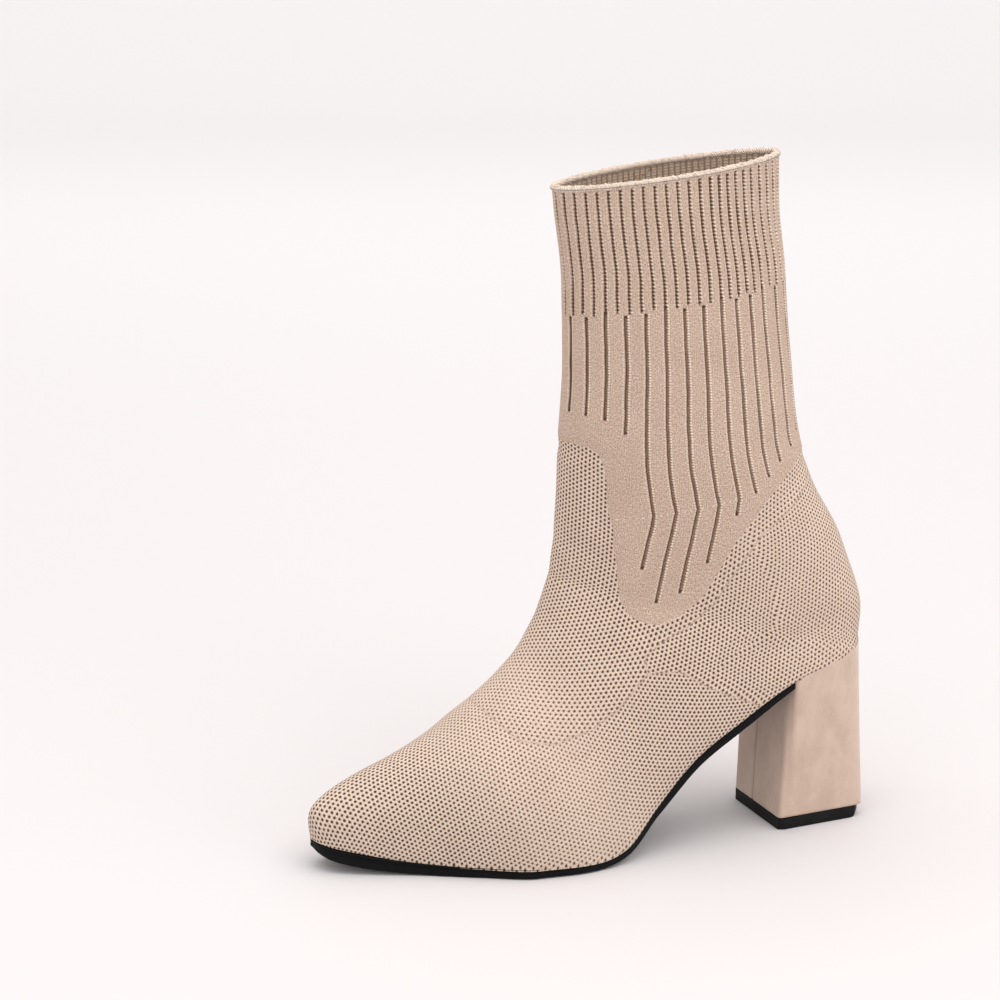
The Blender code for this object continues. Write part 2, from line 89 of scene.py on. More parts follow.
FOOT = (
    (0.000, 1.000, 0.00, 0.000, 1.000, 1.00, 0.0, SEAT_WIDTH, 0.000, 1.072, 1.072, 0.385, 2.00, 2.30),
    (0.029, 0.961, 0.00, 0.005, 0.980, 1.00, 0.0, SEAT_WIDTH, 0.585, 1.068, 1.068, 0.375, 2.00, 2.32),
    (0.086, 0.916, 0.00, 0.017, 0.945, 0.98, 0.0, SEAT_WIDTH, 0.925, 1.060, 1.058, 0.360, 2.00, 2.32),
    (0.173, 0.845, 0.00, 0.034, 0.897, 0.95, 0.2, SEAT_WIDTH, 1.000, 1.053, 1.045, 0.335, 2.00, 2.30),
    (0.272, 0.644, 0.00, 0.060, 0.840, 0.90, 0.7, WAIST_WIDTH, 1.044, 1.230, 1.204, 0.310, 2.00, 2.24),
    (0.354, 0.462, 0.00, 0.095, 0.774, 0.84, 1.1, WAIST_WIDTH, 0.978, 1.224, 1.196, 0.290, 2.00, 2.20),
    (0.428, 0.229, 0.00, 0.138, 0.708, 0.77, 1.2, WAIST_WIDTH, 1.044, 1.267, 1.236, 0.280, 2.00, 2.20),
    (0.498, 0.040, 0.00, 0.196, 0.642, 0.69, 1.1, BALL_WIDTH, 0.835, 0.895, 0.889, 0.280, 2.00, 2.20),
    (0.576, 0.000, 0.00, 0.270, 0.568, 0.60, 0.5, BALL_WIDTH, 0.980, 1.016, 1.016, 0.280, 2.00, 2.20),
    (0.658, 0.000, 0.00, 0.368, 0.492, 0.52, 0.0, BALL_WIDTH, 1.000, 1.036, 1.042, 0.280, 2.00, 2.20),
    (0.745, 0.000, 0.00, 0.488, 0.418, 0.46, 0.0, BALL_WIDTH, 0.792, 0.833, 0.855, 0.285, 2.00, 2.20),
    (0.831, 0.000, 0.09, 0.638, 0.343, 0.40, 0.0, BALL_WIDTH, 0.550, 0.592, 0.625, 0.300, 2.05, 2.20),
    (0.905, 0.000, 0.38, 0.780, 0.272, 0.28, 0.0, BALL_WIDTH, 0.394, 0.433, 0.455, 0.320, 2.10, 2.20),
    (0.963, 0.000, 0.72, 0.915, 0.186, 0.12, 0.0, BALL_WIDTH, 0.261, 0.303, 0.310, 0.340, 2.20, 2.20),
    (0.990, 0.000, 0.92, 0.992, 0.108, 0.02, 0.0, BALL_WIDTH, 0.144, 0.172, 0.172, 0.360, 2.20, 2.20),
    (1.000, 0.000, 1.00, 1.000, 0.000, 0.00, 0.0, BALL_WIDTH, 0.000, 0.000, 0.000, 0.400, 2.20, 2.20),
)
print("tables:", len(SHAFT), "rows for the shaft,", len(FOOT), "for the foot")

# %% Places along the last
# Sole over rows counted from the heel's breast: its depth, what is added to it for the photograph's edge,
# and how far its edge stands out from the knit
SOLE_ROWS = (0.0, 1.0, 3.0, 4.5, 10.0, 12.0)
SOLE_THICK = (
    np.array([0.5, 1.0, 1.0, 0, 0, 0]) * SHANK_THICKNESS
    + np.array([0, 0, 0, 1, 1, 0.8]) * SOLE_THICKNESS
)
SOLE_FILL_AT = (0.0, 1.0, 3.0, 4.5, 7.0, 8.0, 9.0, 10.0, 11.0, 12.0)
SOLE_FILL = np.array([1.7, 2.1, 1.7, -0.3, 0.0, 0.5, 1.2, 1.2, 0.3, -1.2]) * MM
SOLE_OUTSET = np.array([-0.6, -0.4, -0.3, -0.1, 0.9, -0.1]) * SOLE_EDGE
HEEL_ROW = len(SHAFT)
BREAST_ROW = HEEL_ROW + 3
TOE_ROW = HEEL_ROW + len(FOOT) - 1
RIM_ROWS = RIM_HEIGHT / ((1 - SHAFT[1][1]) * (BOOT_HEIGHT - HEEL_HEIGHT))
HEEL_BREAST = HEEL_BACK - FOOT[3][0] * FOOT_LENGTH + FIT_GAP
print(f"rows: {HEEL_ROW} in the shaft, {len(FOOT)} in the foot, rim {RIM_ROWS:.3f} rows deep")

# %% [markdown]
# ## The skin of the last
# A last is the foot-shaped form that a shoe is made on. It could be sculpted or lofted by hand. Here it is
# a function instead: it takes a station along the sock and a place around it, and gives a point in space.
# So each piece can ask for as many points as it needs, and all of them lie on the form of the CAD solids.

# %% Curves through the tables
def cubic(start, end, leaving, arriving, t):
    """Cubic curve from start to end as t goes from 0 to 1, with its slopes at both ends given.

    With rise = end - start, it is start + t * leaving + t^2 * (3 rise - 2 leaving - arriving)
    + t^3 * (leaving + arriving - 2 rise).
    """
    rise = end - start
    early = leaving + t * (3 * rise - 2 * leaving - arriving)
    return start + t * early + t ** 3 * (leaving + arriving - 2 * rise)


def through(values, at):
    """Cubic curve through values at rows 0, 1, 2 ... The slope at a row is that of the chord between its
    neighbours, or level where the values turn or stay."""
    values = np.asarray(values, float)
    steps = np.diff(values)
    slopes = np.gradient(values)
    slopes[1:-1] *= steps[:-1] * steps[1:] > 0
    row = np.clip(np.floor(at).astype(int), 0, len(values) - 2)
    return cubic(values[row], values[row + 1], slopes[row], slopes[row + 1], at - row)


def joined(shaft, foot, at, kink=False):
    """A value along shaft and foot. With kink, the two stretches meet in a corner at the heel."""
    if not kink:
        return through(np.concatenate([shaft, foot]), at)
    above = through(np.append(shaft, foot[0]), np.minimum(at, HEEL_ROW))
    below = through(foot, np.maximum(at - HEEL_ROW, 0))
    return np.where(at < HEEL_ROW, above, below)


def last(at):
    """Sizes of the section at each station: front and back points, half widths and roundness.

    Each is a value of the tables times a size of the boot, read along the stations by joined.
    """
    at = np.asarray(at, float)
    shaft = dict(zip(SHAFT_COLUMNS, np.array(SHAFT).T))
    foot = dict(zip(FOOT_COLUMNS, np.array(FOOT).T))
    rise_front = BOOT_HEIGHT - COLLAR_DIP - ANKLE_HEIGHT
    rise_back = BOOT_HEIGHT - HEEL_HEIGHT
    shaft_half = (COLLAR_WIDTH + shaft["width"] * (ANKLE_WIDTH - COLLAR_WIDTH)) / 2
    spring = SOLE_LINE + foot["spring"] * TOE_SPRING
    half = foot["breadth"] / 2
    none = np.zeros(len(SHAFT))
    form = {
        "front_y": joined(
            ANKLE_FRONT + shaft["lean"] * SHAFT_DEPTH,
            ANKLE_FRONT - foot["top_length"] * (FOOT_LENGTH - ANKLE_DEPTH), at),
        "front_z": joined(
            ANKLE_HEIGHT + shaft["front"] * rise_front,
            spring + foot["top"] * INSTEP_HEIGHT, at),
        "back_y": joined(
            HEEL_BACK - shaft["set_in"] * (ANKLE_DEPTH - SHAFT_DEPTH),
            HEEL_BACK - foot["length"] * FOOT_LENGTH, at, kink=True),
        "back_z": joined(
            HEEL_HEIGHT + shaft["back"] * rise_back,
            spring + foot["rise"] * (HEEL_HEIGHT - SOLE_LINE), at, kink=True),
        "front_in": joined(none + 1, foot["front_in"], at) * SHAFT_LEAN,
        "back_in": joined(shaft["back_in"] * SHAFT_LEAN, -foot["cut"] * ARCH_CUT, at),
        "sole": joined(none, foot["sole"] * half, at, kink=True),
        "outer": joined(shaft_half, foot["outer"] * half, at),
        "inner": joined(shaft_half, foot["inner"] * half, at),
    }
    form.update({name: joined(shaft[name], foot[name], at) for name in ("widest", "crown", "side")})
    return form


# %% The skin
# Share of the way from the sole line to the front line that lies below a section's widest level
LOW_PART = 0.34


def spine(y):
    """Middle line seen from above: straight over the heel, then swinging inwards to the toe as the share
    of the way to it to the power 1.8."""
    toe = HEEL_BACK - FOOT_LENGTH
    start = HEEL_TIP_LENGTH / 2
    return -TOE_SWING * np.clip((start - y) / (start - toe), 0, 1) ** 1.8


def skin(at, around):
    """Points of the outer skin at a station and a place around it.

    around runs from -1 at the inner sole line over 0 at the front line to +1 at the outer sole line.
    Below the widest level the half width grows as a quarter of a superellipse, and above it the half
    width shrinks to the front line as another one.
    """
    at, around = np.broadcast_arrays(np.asarray(at, float), np.asarray(around, float))
    form = last(at)
    up = 1 - np.abs(around)
    wide = np.where(around < 0, form["inner"], form["outer"])
    low = np.clip(up / LOW_PART, 0, 1) * math.pi / 2
    high = np.clip((up - LOW_PART) / (1 - LOW_PART), 0, 1) * math.pi / 2
    low_half = form["sole"] + (wide - form["sole"]) * np.sin(low) ** (2 / form["side"])
    low_rise = form["widest"] * (1 - np.cos(low) ** (2 / form["side"]))
    high_half = wide * np.cos(high) ** (2 / form["crown"])
    high_rise = form["widest"] + (1 - form["widest"]) * np.sin(high) ** (2 / form["crown"])
    half = np.where(up < LOW_PART, low_half, high_half)
    rise = np.where(up < LOW_PART, low_rise, high_rise)
    y = form["back_y"] + (form["front_y"] - form["back_y"]) * rise
    z = form["back_z"] + (form["front_z"] - form["back_z"]) * rise
    inwards = form["back_in"] + (form["front_in"] - form["back_in"]) * rise
    return np.stack([spine(y) - inwards + np.sign(around) * half, y, z], -1)


corner = skin(0.0, 0.0) / MM
print(f"the front of the collar is {-corner[1]:.1f} mm before the heel's middle and {corner[2]:.1f} mm high")


# %% Helpers for surfaces
def unit(vectors):
    """Vectors scaled to length one."""
    return vectors / np.maximum(np.linalg.norm(vectors, axis=-1, keepdims=True), 1e-12)


def grid_normals(points):
    """Outward normals of a grid of skin points: the cross product of its two slopes."""
    normal = np.cross(np.gradient(points, axis=1), np.gradient(points, axis=0))
    normal = unit(normal)
    centre = points.mean(axis=1, keepdims=True)
    side = np.sign(((points - centre) * normal).sum(-1).mean())
    return normal * side


def run_along(points, axis=0):
    """Distance walked along points, starting from zero: the sum of the steps between them."""
    steps = np.linalg.norm(np.diff(points, axis=axis), axis=-1)
    return np.insert(np.cumsum(steps, axis=axis), 0, 0.0, axis=axis)


def read_line(at, run, line):
    """Points of a line at given distances, where run holds the distance of each of its own points."""
    return np.stack([np.interp(at, run, line[:, k]) for k in range(line.shape[1])], -1)


def smooth(x):
    """Smooth step 3 x^2 - 2 x^3, from 0 at x <= 0 to 1 at x >= 1."""
    x = np.clip(x, 0, 1)
    return x * x * (3 - 2 * x)


front_line = run_along(skin(np.linspace(0, TOE_ROW, 400), 0.0))
print(f"front line from collar to toe: {front_line[-1] / MM:.0f} mm")

# %% [markdown]
# ## How the knit lies
# A rib has the same number of stitches all round, so a groove keeps its share of the girth. Thirty wide
# ribs go round the ankle and fifty narrow ones round the collar, and every third wide groove runs on from
# a fifth narrow one. The table gives the share of half the girth, from the front line to the back, at a
# count of wide grooves. It is a little denser towards the back, as in the photograph.

# %% Grooves round the girth
WIDE_AT = np.array([0.5, 9.0, 12.0, 15.5])
WIDE_SHARE = np.array([0.0, 0.579, 0.757, 1.0])
NARROW_PER_WIDE = 5 / 3
COLUMNS = 540


def girth_share(wide):
    """Share of half the girth at a groove count: count 0.5 is the front line, and counts below it mirror."""
    return np.interp(np.maximum(wide, 1 - wide), WIDE_AT, WIDE_SHARE)


def around_at(at, share):
    """Places around each station at a share of its half girth, on the inner and on the outer side.

    The girth is measured along the section, from the front line to the sole line.
    """
    fine = np.linspace(0, 1, 500)
    found = []
    for side in (-1, 1):
        run = run_along(skin(at[:, None], side * fine[None, :]), axis=1)
        total = np.maximum(run[:, -1:], 1e-9)
        found.append(np.stack([np.interp(share, row, fine) for row in run / total]))
    return found


def stations(start, stop, count, around):
    """Stations from start to stop at even distances along the skin, measured at one place around it."""
    fine = np.linspace(start, stop, 1500)
    run = run_along(skin(fine, np.full(len(fine), around)))
    return np.interp(np.linspace(0, run[-1], count), run, fine)


wide_round = 2 * WIDE_AT[-1] - 1
narrow_round = wide_round * NARROW_PER_WIDE
print(f"ribs: {wide_round:.0f} wide, {narrow_round:.0f} narrow, on {COLUMNS} columns of points")

# %% [markdown]
# ## The lattice of the mesh
# The holes of the mesh lie on a hexagonal lattice whose wales run down the shaft and the heel, and turn
# forwards to the toe in the foot. The real sock turns by short rows, and a faint line shows where the
# lattice changes its direction. So there are three fields: front, heel and toe. Each has two coordinates
# over the skin, in millimetres, whose slopes come as near as can be to a given direction. They are found
# by least squares on a coarse net and then read off smoothly. A flat net can't wrap a toe without some
# give, so the wanted directions are turned a little, round by round, until the holes keep their spacing.

# %% Where the lattice changes
# Side-view angle of the wales at a distance towards the toe, and the lines between the three fields
TURN_AT = np.array([-50, 20, 50, 75, 95, 110, 122, 150, 190, 230.0])
TURN_ANGLE = np.radians([88, 86, 78, 70, 62, 50, 37, 33, 32, 28.0])
JOIN_LINE = np.array([
    (-175, 78), (-152, 70), (-146, 63), (-139, 56), (-125, 54), (-109, 58), (-97, 66), (-88, 76), (-84, 80.0),
])
HEEL_LINE = np.array([
    (-84, 80), (-85, 87), (-76, 93), (-66, 98), (-55, 107), (-49, 117), (-36, 136), (-12, 152), (20, 176.0),
])
ARCH_LINE = np.array([(-84, 80), (-71, 80), (-58, 72), (-48, 67), (-36, 62), (-20, 50.0)])


def signed_distance(points, line):
    """Distance of side-view points from a line of points, positive on the line's left.

    For each piece of the line, the nearest place on it is found, and the least distance counts.
    """
    best = np.full(len(points), 1e9)
    sign = np.ones(len(points))
    for a, b in zip(line[:-1], line[1:]):
        run = b - a
        t = np.clip(((points - a) @ run) / (run @ run), 0, 1)
        gap = points - (a + t[:, None] * run)
        reach = np.hypot(gap[:, 0], gap[:, 1])
        side = run[0] * (points[:, 1] - a[1]) - run[1] * (points[:, 0] - a[0])
        near = reach < best
        best = np.where(near, reach, best)
        sign = np.where(near, np.where(side < 0, -1.0, 1.0), sign)
    return best * sign


def zones(points):
    """How far each point lies in the toe field and in the heel field, in millimetres of the side view."""
    flat = points.reshape(-1, 3)[:, 1:] / MM
    toe = signed_distance(flat, np.concatenate([JOIN_LINE, ARCH_LINE[1:]]))
    heel = signed_distance(flat, np.concatenate([ARCH_LINE[::-1], HEEL_LINE[1:]]))
    return -toe.reshape(points.shape[:-1]), -heel.reshape(points.shape[:-1])


def towards_toe(y, z):
    """How far a side-view place lies towards the toe, in millimetres along a line that leans forwards."""
    return -y - 0.6 * (z - 60)


first, final = np.degrees(TURN_ANGLE[[0, -1]])
print(f"wales turn from {first:.0f} to {final:.0f} degrees")


# %% Least squares on a net
class RowSolver:
    """Solves the least squares of a net row by row: each row is tied only to the next, by its weights.

    The sum of weight * (step - wanted step)^2 is least where, at every point, the weighted steps to its
    neighbours add up to the wanted ones. These equations are taken up from the first row to the last, and
    then solved backwards.
    """

    def __init__(self, down, along):
        """Prepare from the weights of the steps between rows and along rows. One corner is held."""
        rows, columns = along.shape[0], down.shape[1]
        self.down, self.inverse = down, []
        for i in range(rows):
            total = np.zeros(columns)
            total[:-1] += along[i]
            total[1:] += along[i]
            total += (down[i - 1] if i else 0) + (down[i] if i < rows - 1 else 0)
            block = np.diag(total) - np.diag(along[i], 1) - np.diag(along[i], -1)
            if i == 0:
                block[0, 0] += 1.0
            else:
                block -= down[i - 1][:, None] * self.inverse[-1] * down[i - 1][None, :]
            self.inverse.append(np.linalg.inv(block))

    def solve(self, right):
        """Values at the net's points, from the wanted steps added up at each point."""
        carried = [right[0]]
        for i in range(1, len(right)):
            carried.append(right[i] + self.down[i - 1] * (self.inverse[i - 1] @ carried[-1]))
        found = [self.inverse[-1] @ carried[-1]]
        for i in range(len(right) - 2, -1, -1):
            found.append(self.inverse[i] @ (carried[i] + self.down[i] * found[-1]))
        return np.array(found[::-1])


# %% Lattice fields
NET_ROWS, NET_COLUMNS = 62, 43
FIELD_LAP = 4
WEIGHT_OUTSIDE = 0.003
TURN_ROUNDS, TURN_KEPT = 14, 0.93
EARLIER = (np.s_[:-1], np.s_[:, :-1])
LATER = (np.s_[1:], np.s_[:, 1:])


def wanted_directions(net):
    """Unit directions across and along the wales at each point of the net.

    The wale has the side view's angle. Its part along the normal is taken off, so it lies in the skin, and
    the other direction is the cross product of the normal and the wale.
    """
    normal = grid_normals(net)
    y, z = net[..., 1] / MM, net[..., 2] / MM
    angle = np.interp(towards_toe(y, z), TURN_AT, TURN_ANGLE)
    wale = np.stack([0 * angle, -np.cos(angle), -np.sin(angle)], -1)
    wale = unit(wale - (wale * normal).sum(-1, keepdims=True) * normal)
    return np.cross(normal, wale), wale


def field_slopes(values, net, directions):
    """Slopes of a field across and along the wales, from its differences over the net.

    The net's two slopes are written in those directions as a table of two by two, which is inverted.
    """
    (a, b), (c, d) = [
        [(np.gradient(net / MM, axis=k) * direction).sum(-1) for direction in directions] for k in (0, 1)
    ]
    whole = a * d - b * c
    whole = np.where(np.abs(whole) < 1e-3, 1e-3, whole)
    by_row, by_column = np.gradient(values, axis=0), np.gradient(values, axis=1)
    return (by_row * d - by_column * b) / whole, (by_column * a - by_row * c) / whole


def solve_field(within, net, directions):
    """Both coordinates of one field over the net. Steps outside the field weigh almost nothing.

    A wanted step is the wanted direction times the step in space. After each round the directions turn by
    most of the angle by which the field that was found has turned.
    """
    across, wale = directions
    steps = [np.diff(net / MM, axis=k) for k in (0, 1)]
    weights = [
        np.where(within[earlier] & within[later], 1.0, WEIGHT_OUTSIDE) / ((step ** 2).sum(-1) + 0.05)
        for earlier, later, step in zip(EARLIER, LATER, steps)
    ]
    solver = RowSolver(*weights)
    turned = np.zeros(within.shape)
    for _ in range(TURN_ROUNDS):
        swing = TURN_KEPT * turned
        cosine, sine = np.cos(swing)[..., None], np.sin(swing)[..., None]
        found = []
        for slope in (cosine * across - sine * wale, sine * across + cosine * wale):
            right = np.zeros(within.shape)
            for earlier, later, weight, step in zip(EARLIER, LATER, weights, steps):
                rise = weight * (0.5 * (slope[earlier] + slope[later]) * step).sum(-1)
                right[later] += rise
                right[earlier] -= rise
            found.append(solver.solve(right))
        (u_across, u_along), (v_across, v_along) = [field_slopes(part, net, directions) for part in found]
        turned = np.arctan2(v_across - u_along, u_across + v_along)
    area = np.abs(u_across * v_along - u_along * v_across)[within]
    spread = np.percentile(area, (10, 50, 90)).round(2)
    print("lattice area over skin area, at the 10th, 50th and 90th hundredth:", spread)
    return np.stack(found, -1)


def lattice_fields():
    """Net stations, net places, and for each field the two coordinates at the net's points."""
    at = stations(0.0, TOE_ROW - 0.03, NET_ROWS, 0.45)
    around = np.linspace(-1, 1, NET_COLUMNS)
    net = skin(at[:, None], around[None, :])
    directions = wanted_directions(net)
    toe, heel = zones(net)
    behind = toe < FIELD_LAP
    inside = (behind & (heel < FIELD_LAP), behind & (heel > -FIELD_LAP), toe > -FIELD_LAP)
    return at, around, [solve_field(within, net, directions) for within in inside]


def read_net(net_at, net_around, field, at, around):
    """Values of a net field at stations and places, by cubic curves along the net and then around it."""
    place = np.interp(at, net_at, np.arange(len(net_at)))
    row = np.clip(np.floor(place).astype(int), 0, len(net_at) - 2)
    slopes = np.gradient(field, axis=0)
    t = (place - row)[:, None, None]
    by_row = cubic(field[row], field[row + 1], slopes[row], slopes[row + 1], t)
    column = np.interp(around, net_around, np.arange(len(net_around)))
    left = np.clip(np.floor(column).astype(int), 0, len(net_around) - 2)
    slopes = np.gradient(by_row, axis=1)
    pick = np.arange(len(at))[:, None]
    t = (column - left)[..., None]
    return cubic(by_row[pick, left], by_row[pick, left + 1], slopes[pick, left], slopes[pick, left + 1], t)


NET_AT, NET_AROUND, FIELDS = lattice_fields()
spans = [np.ptp(field[..., 1]).round() for field in FIELDS]
print("lattice net:", NET_ROWS, "x", NET_COLUMNS, "spans", spans, "mm along the wales")

# %% [markdown]
# ## The lines of the knit
# The ribs end in a rising band, the wide grooves each end at their own height, and the smooth bib reaches
# down over the ankle with a curved border. A row across the bib shows where the knitting turned, and below
# it the grooves lean forwards. These lines are read from the photograph in millimetres of the side view.
# Each point of the skin later carries its distance from them, so mesh and material share one pattern.

# %% Where grooves and bib end
# The side-view height where each wide groove ends, groove 1 nearest the front line
WIDE_ENDS = np.array([
    187.7, 187.7, 187.2, 186.0, 180.6, 123.2, 108.6, 112.6, 125.4,
    145.3, 154.0, 160.0, 165.5, 170.2, 175.0, 179.0, 182.0,
])
BIB_LINE = np.array([
    (-140, 175.6), (-108, 175.4), (-103, 174.6), (-100, 172.0), (-98, 167), (-97, 160), (-96.9, 153),
    (-95.9, 145.5), (-94.4, 141), (-94.2, 133), (-92.9, 124.6), (-91.9, 114), (-91.2, 108.8), (-88.8, 104.0),
    (-84.4, 101.2), (-79, 100.0), (-72.8, 101.2), (-66, 105.5), (-59.7, 111.5), (-55.2, 120), (-47, 135),
    (-40.8, 142), (-33.3, 151), (-25.4, 157.6), (-12.6, 166), (10, 180.0),
])
TURN_LINE = np.array([(-96, 144.4), (-81, 146.2), (-56, 150.4), (-46, 152.4)])
# Below the turn row, grooves lean by this slope, between these places and down to this depth
TURN_LEAN = 0.165
LEAN_FRONT, LEAN_BACK, LEAN_DEEP = -97, -42, 60
COLLAR_EDGE = skin(np.zeros(60), np.linspace(0, 1, 60))[:, 1:] / MM


def band_end(y):
    """Height in millimetres where the narrow ribs end, rising to the back."""
    return 228.4 + 0.115 * (y + 106)


def collar_height(y):
    """Height in millimetres of the collar's edge."""
    return np.interp(y, COLLAR_EDGE[:, 0], COLLAR_EDGE[:, 1])


def turn_height(y):
    """Height in millimetres of the turn row in the bib."""
    return np.interp(y, TURN_LINE[:, 0], TURN_LINE[:, 1])


heights = [f"{line(-80):.1f}" for line in (collar_height, band_end, turn_height)]
print("80 mm before the heel's middle, collar, band and turn row are at", ", ".join(heights), "mm")


# %% Counting grooves
# Millimetres between the ends of wide and narrow grooves, the overlap of the joined ones, and the stretch
# below the collar's edge that is left plain
BAND_GAP, BAND_LAP, COLLAR_PLAIN = 0.6, 1.6, 2.3


def counts_at_turn(points, wide):
    """For each side, where along the boot each groove count meets the turn row: (y, count) tables."""
    above = points[..., 2] / MM - turn_height(points[..., 1] / MM)
    row = np.argmax(above < 0, axis=0)
    column = np.arange(points.shape[1])
    high, low = above[row - 1, column], above[row, column]
    before, after = points[row - 1, column, 1], points[row, column, 1]
    y = before + (after - before) * high / (high - low)
    tables = []
    for side in (wide <= 0.5, wide > 0.5):
        count = np.where(side, np.maximum(wide, 1 - wide), 0)[side]
        order = np.argsort(count)
        tables.append((y[side][order] / MM, count[order]))
    return tables


def knit_lines(points, wide, tables):
    """Groove counts and how far inside each groove's ends a point lies, in millimetres.

    Below the turn row the wide grooves lean forwards: the count there is the one that the turn row has
    at the foot of the slanted line through the point. Narrow grooves end unevenly, by a cosine of their
    number, and every fifth one runs on into a wide one.
    """
    y, z = points[..., 1] / MM, points[..., 2] / MM
    side = wide > 0.5
    count = np.where(side, wide, 1 - wide)
    below = np.maximum(turn_height(y) - z, 0)
    shifted = y + TURN_LEAN * below
    at_turn = np.where(side, np.interp(shifted, *tables[1]), np.interp(shifted, *tables[0]))
    usable = (below > 0) & (y < LEAN_BACK) & (y > LEAN_FRONT) & (below < LEAN_DEEP)
    count = np.where(usable, at_turn, count)
    nearest = np.clip(np.round(count), 0, len(WIDE_ENDS) - 1).astype(int)
    ends = WIDE_ENDS[nearest]
    wide_in = np.minimum(z - ends, band_end(y) - BAND_GAP - z)
    signed = np.where(side, count, 1 - count)
    narrow = wide * NARROW_PER_WIDE
    number = np.round(narrow)
    step = 0.5 * np.cos(number * 2.1)
    narrow_in = np.minimum(z - band_end(y) - step, collar_height(y) - COLLAR_PLAIN + step - z)
    joined_groove = (np.abs(number % 5) < 0.5) & (np.abs(narrow - number) < 0.4)
    wide_in = np.where(joined_groove, np.minimum(z - ends, band_end(y) + BAND_LAP - z), wide_in)
    return signed, wide_in, narrow, narrow_in


print("wide grooves end between", WIDE_ENDS.min(), "and", WIDE_ENDS.max(), "mm above the ground")

# %% [markdown]
# ## From numbers to meshes
# Every new piece comes as arrays: its points, its faces and what each point carries for the material. One
# helper puts them into a mesh at once, which is far quicker than adding points one by one and leaves the
# object at the origin, unturned. Another numbers the quads of a grid.

# %% Mesh helpers
def build_mesh(name, points, faces, material, attributes=()):
    """Object from points and faces as arrays, with smooth faces and point attributes."""
    mesh = bpy.data.meshes.new(name)
    corners = np.concatenate([f.ravel() for f in faces])
    sizes = np.concatenate([np.full(len(f), f.shape[1]) for f in faces])
    starts = np.concatenate([[0], np.cumsum(sizes)[:-1]])
    mesh.vertices.add(len(points))
    mesh.vertices.foreach_set("co", np.asarray(points, np.float32).ravel())
    mesh.loops.add(len(corners))
    mesh.loops.foreach_set("vertex_index", corners.astype(np.int32))
    mesh.polygons.add(len(sizes))
    mesh.polygons.foreach_set("loop_start", starts.astype(np.int32))
    mesh.update(calc_edges=True)
    mesh.validate()
    mesh.shade_smooth()
    for label, values in attributes:
        made = mesh.attributes.new(label, "FLOAT_VECTOR", "POINT")
        made.data.foreach_set("vector", np.asarray(values, np.float32).ravel())
    piece = bpy.data.objects.new(name, mesh)
    piece.data.materials.append(material)
    bpy.context.scene.collection.objects.link(piece)
    triangles = int((sizes - 2).sum())
    print(f"{name}: {len(points)} points, {triangles} triangles")
    return piece


def grid_faces(rows, columns, closed=False, start=0):
    """Quads of a grid of points kept row by row. When closed, the last column joins the first."""
    i, j = np.meshgrid(np.arange(rows - 1), np.arange(columns if closed else columns - 1), indexing="ij")
    k = (j + 1) % columns
    quads = np.stack([i * columns + j, i * columns + k, (i + 1) * columns + k, (i + 1) * columns + j], -1)
    return quads.reshape(-1, 4) + start


def end_cap(rows, columns, last_row=False):
    """One face over the first or the last row of a closed grid, turned so that it looks outwards."""
    corners = np.arange(columns)[None]
    return corners + (rows - 1) * columns if last_row else corners[:, ::-1]


print("a closed grid of 3 rows and 4 columns has", len(grid_faces(3, 4, closed=True)), "quads")

# %% [markdown]
# ## Materials
# Yarn, suede, rubber and cloth differ in colour, roughness and grain, so each gets its own node tree. Small
# helpers come first: they add a node, join it up and hand back its output as a number that can be added
# and multiplied in the usual signs, so a material reads as a short sum. Colours are linear. A colour or
# number that is the same all over sits on the shader's own socket.

# %% Node helpers
class Value:
    """A number that changes over a surface: a node's output, with the usual signs of arithmetic."""

    def __init__(self, nodes, socket):
        self.nodes, self.socket = nodes, socket

    def __add__(self, other):
        return self.nodes.math("ADD", self, other)

    def __sub__(self, other):
        return self.nodes.math("SUBTRACT", self, other)

    def __rsub__(self, other):
        return self.nodes.math("SUBTRACT", other, self)

    def __mul__(self, other):
        return self.nodes.math("MULTIPLY", self, other)

    def __truediv__(self, other):
        return self.nodes.math("DIVIDE", self, other)

    def __abs__(self):
        return self.nodes.math("ABSOLUTE", self)


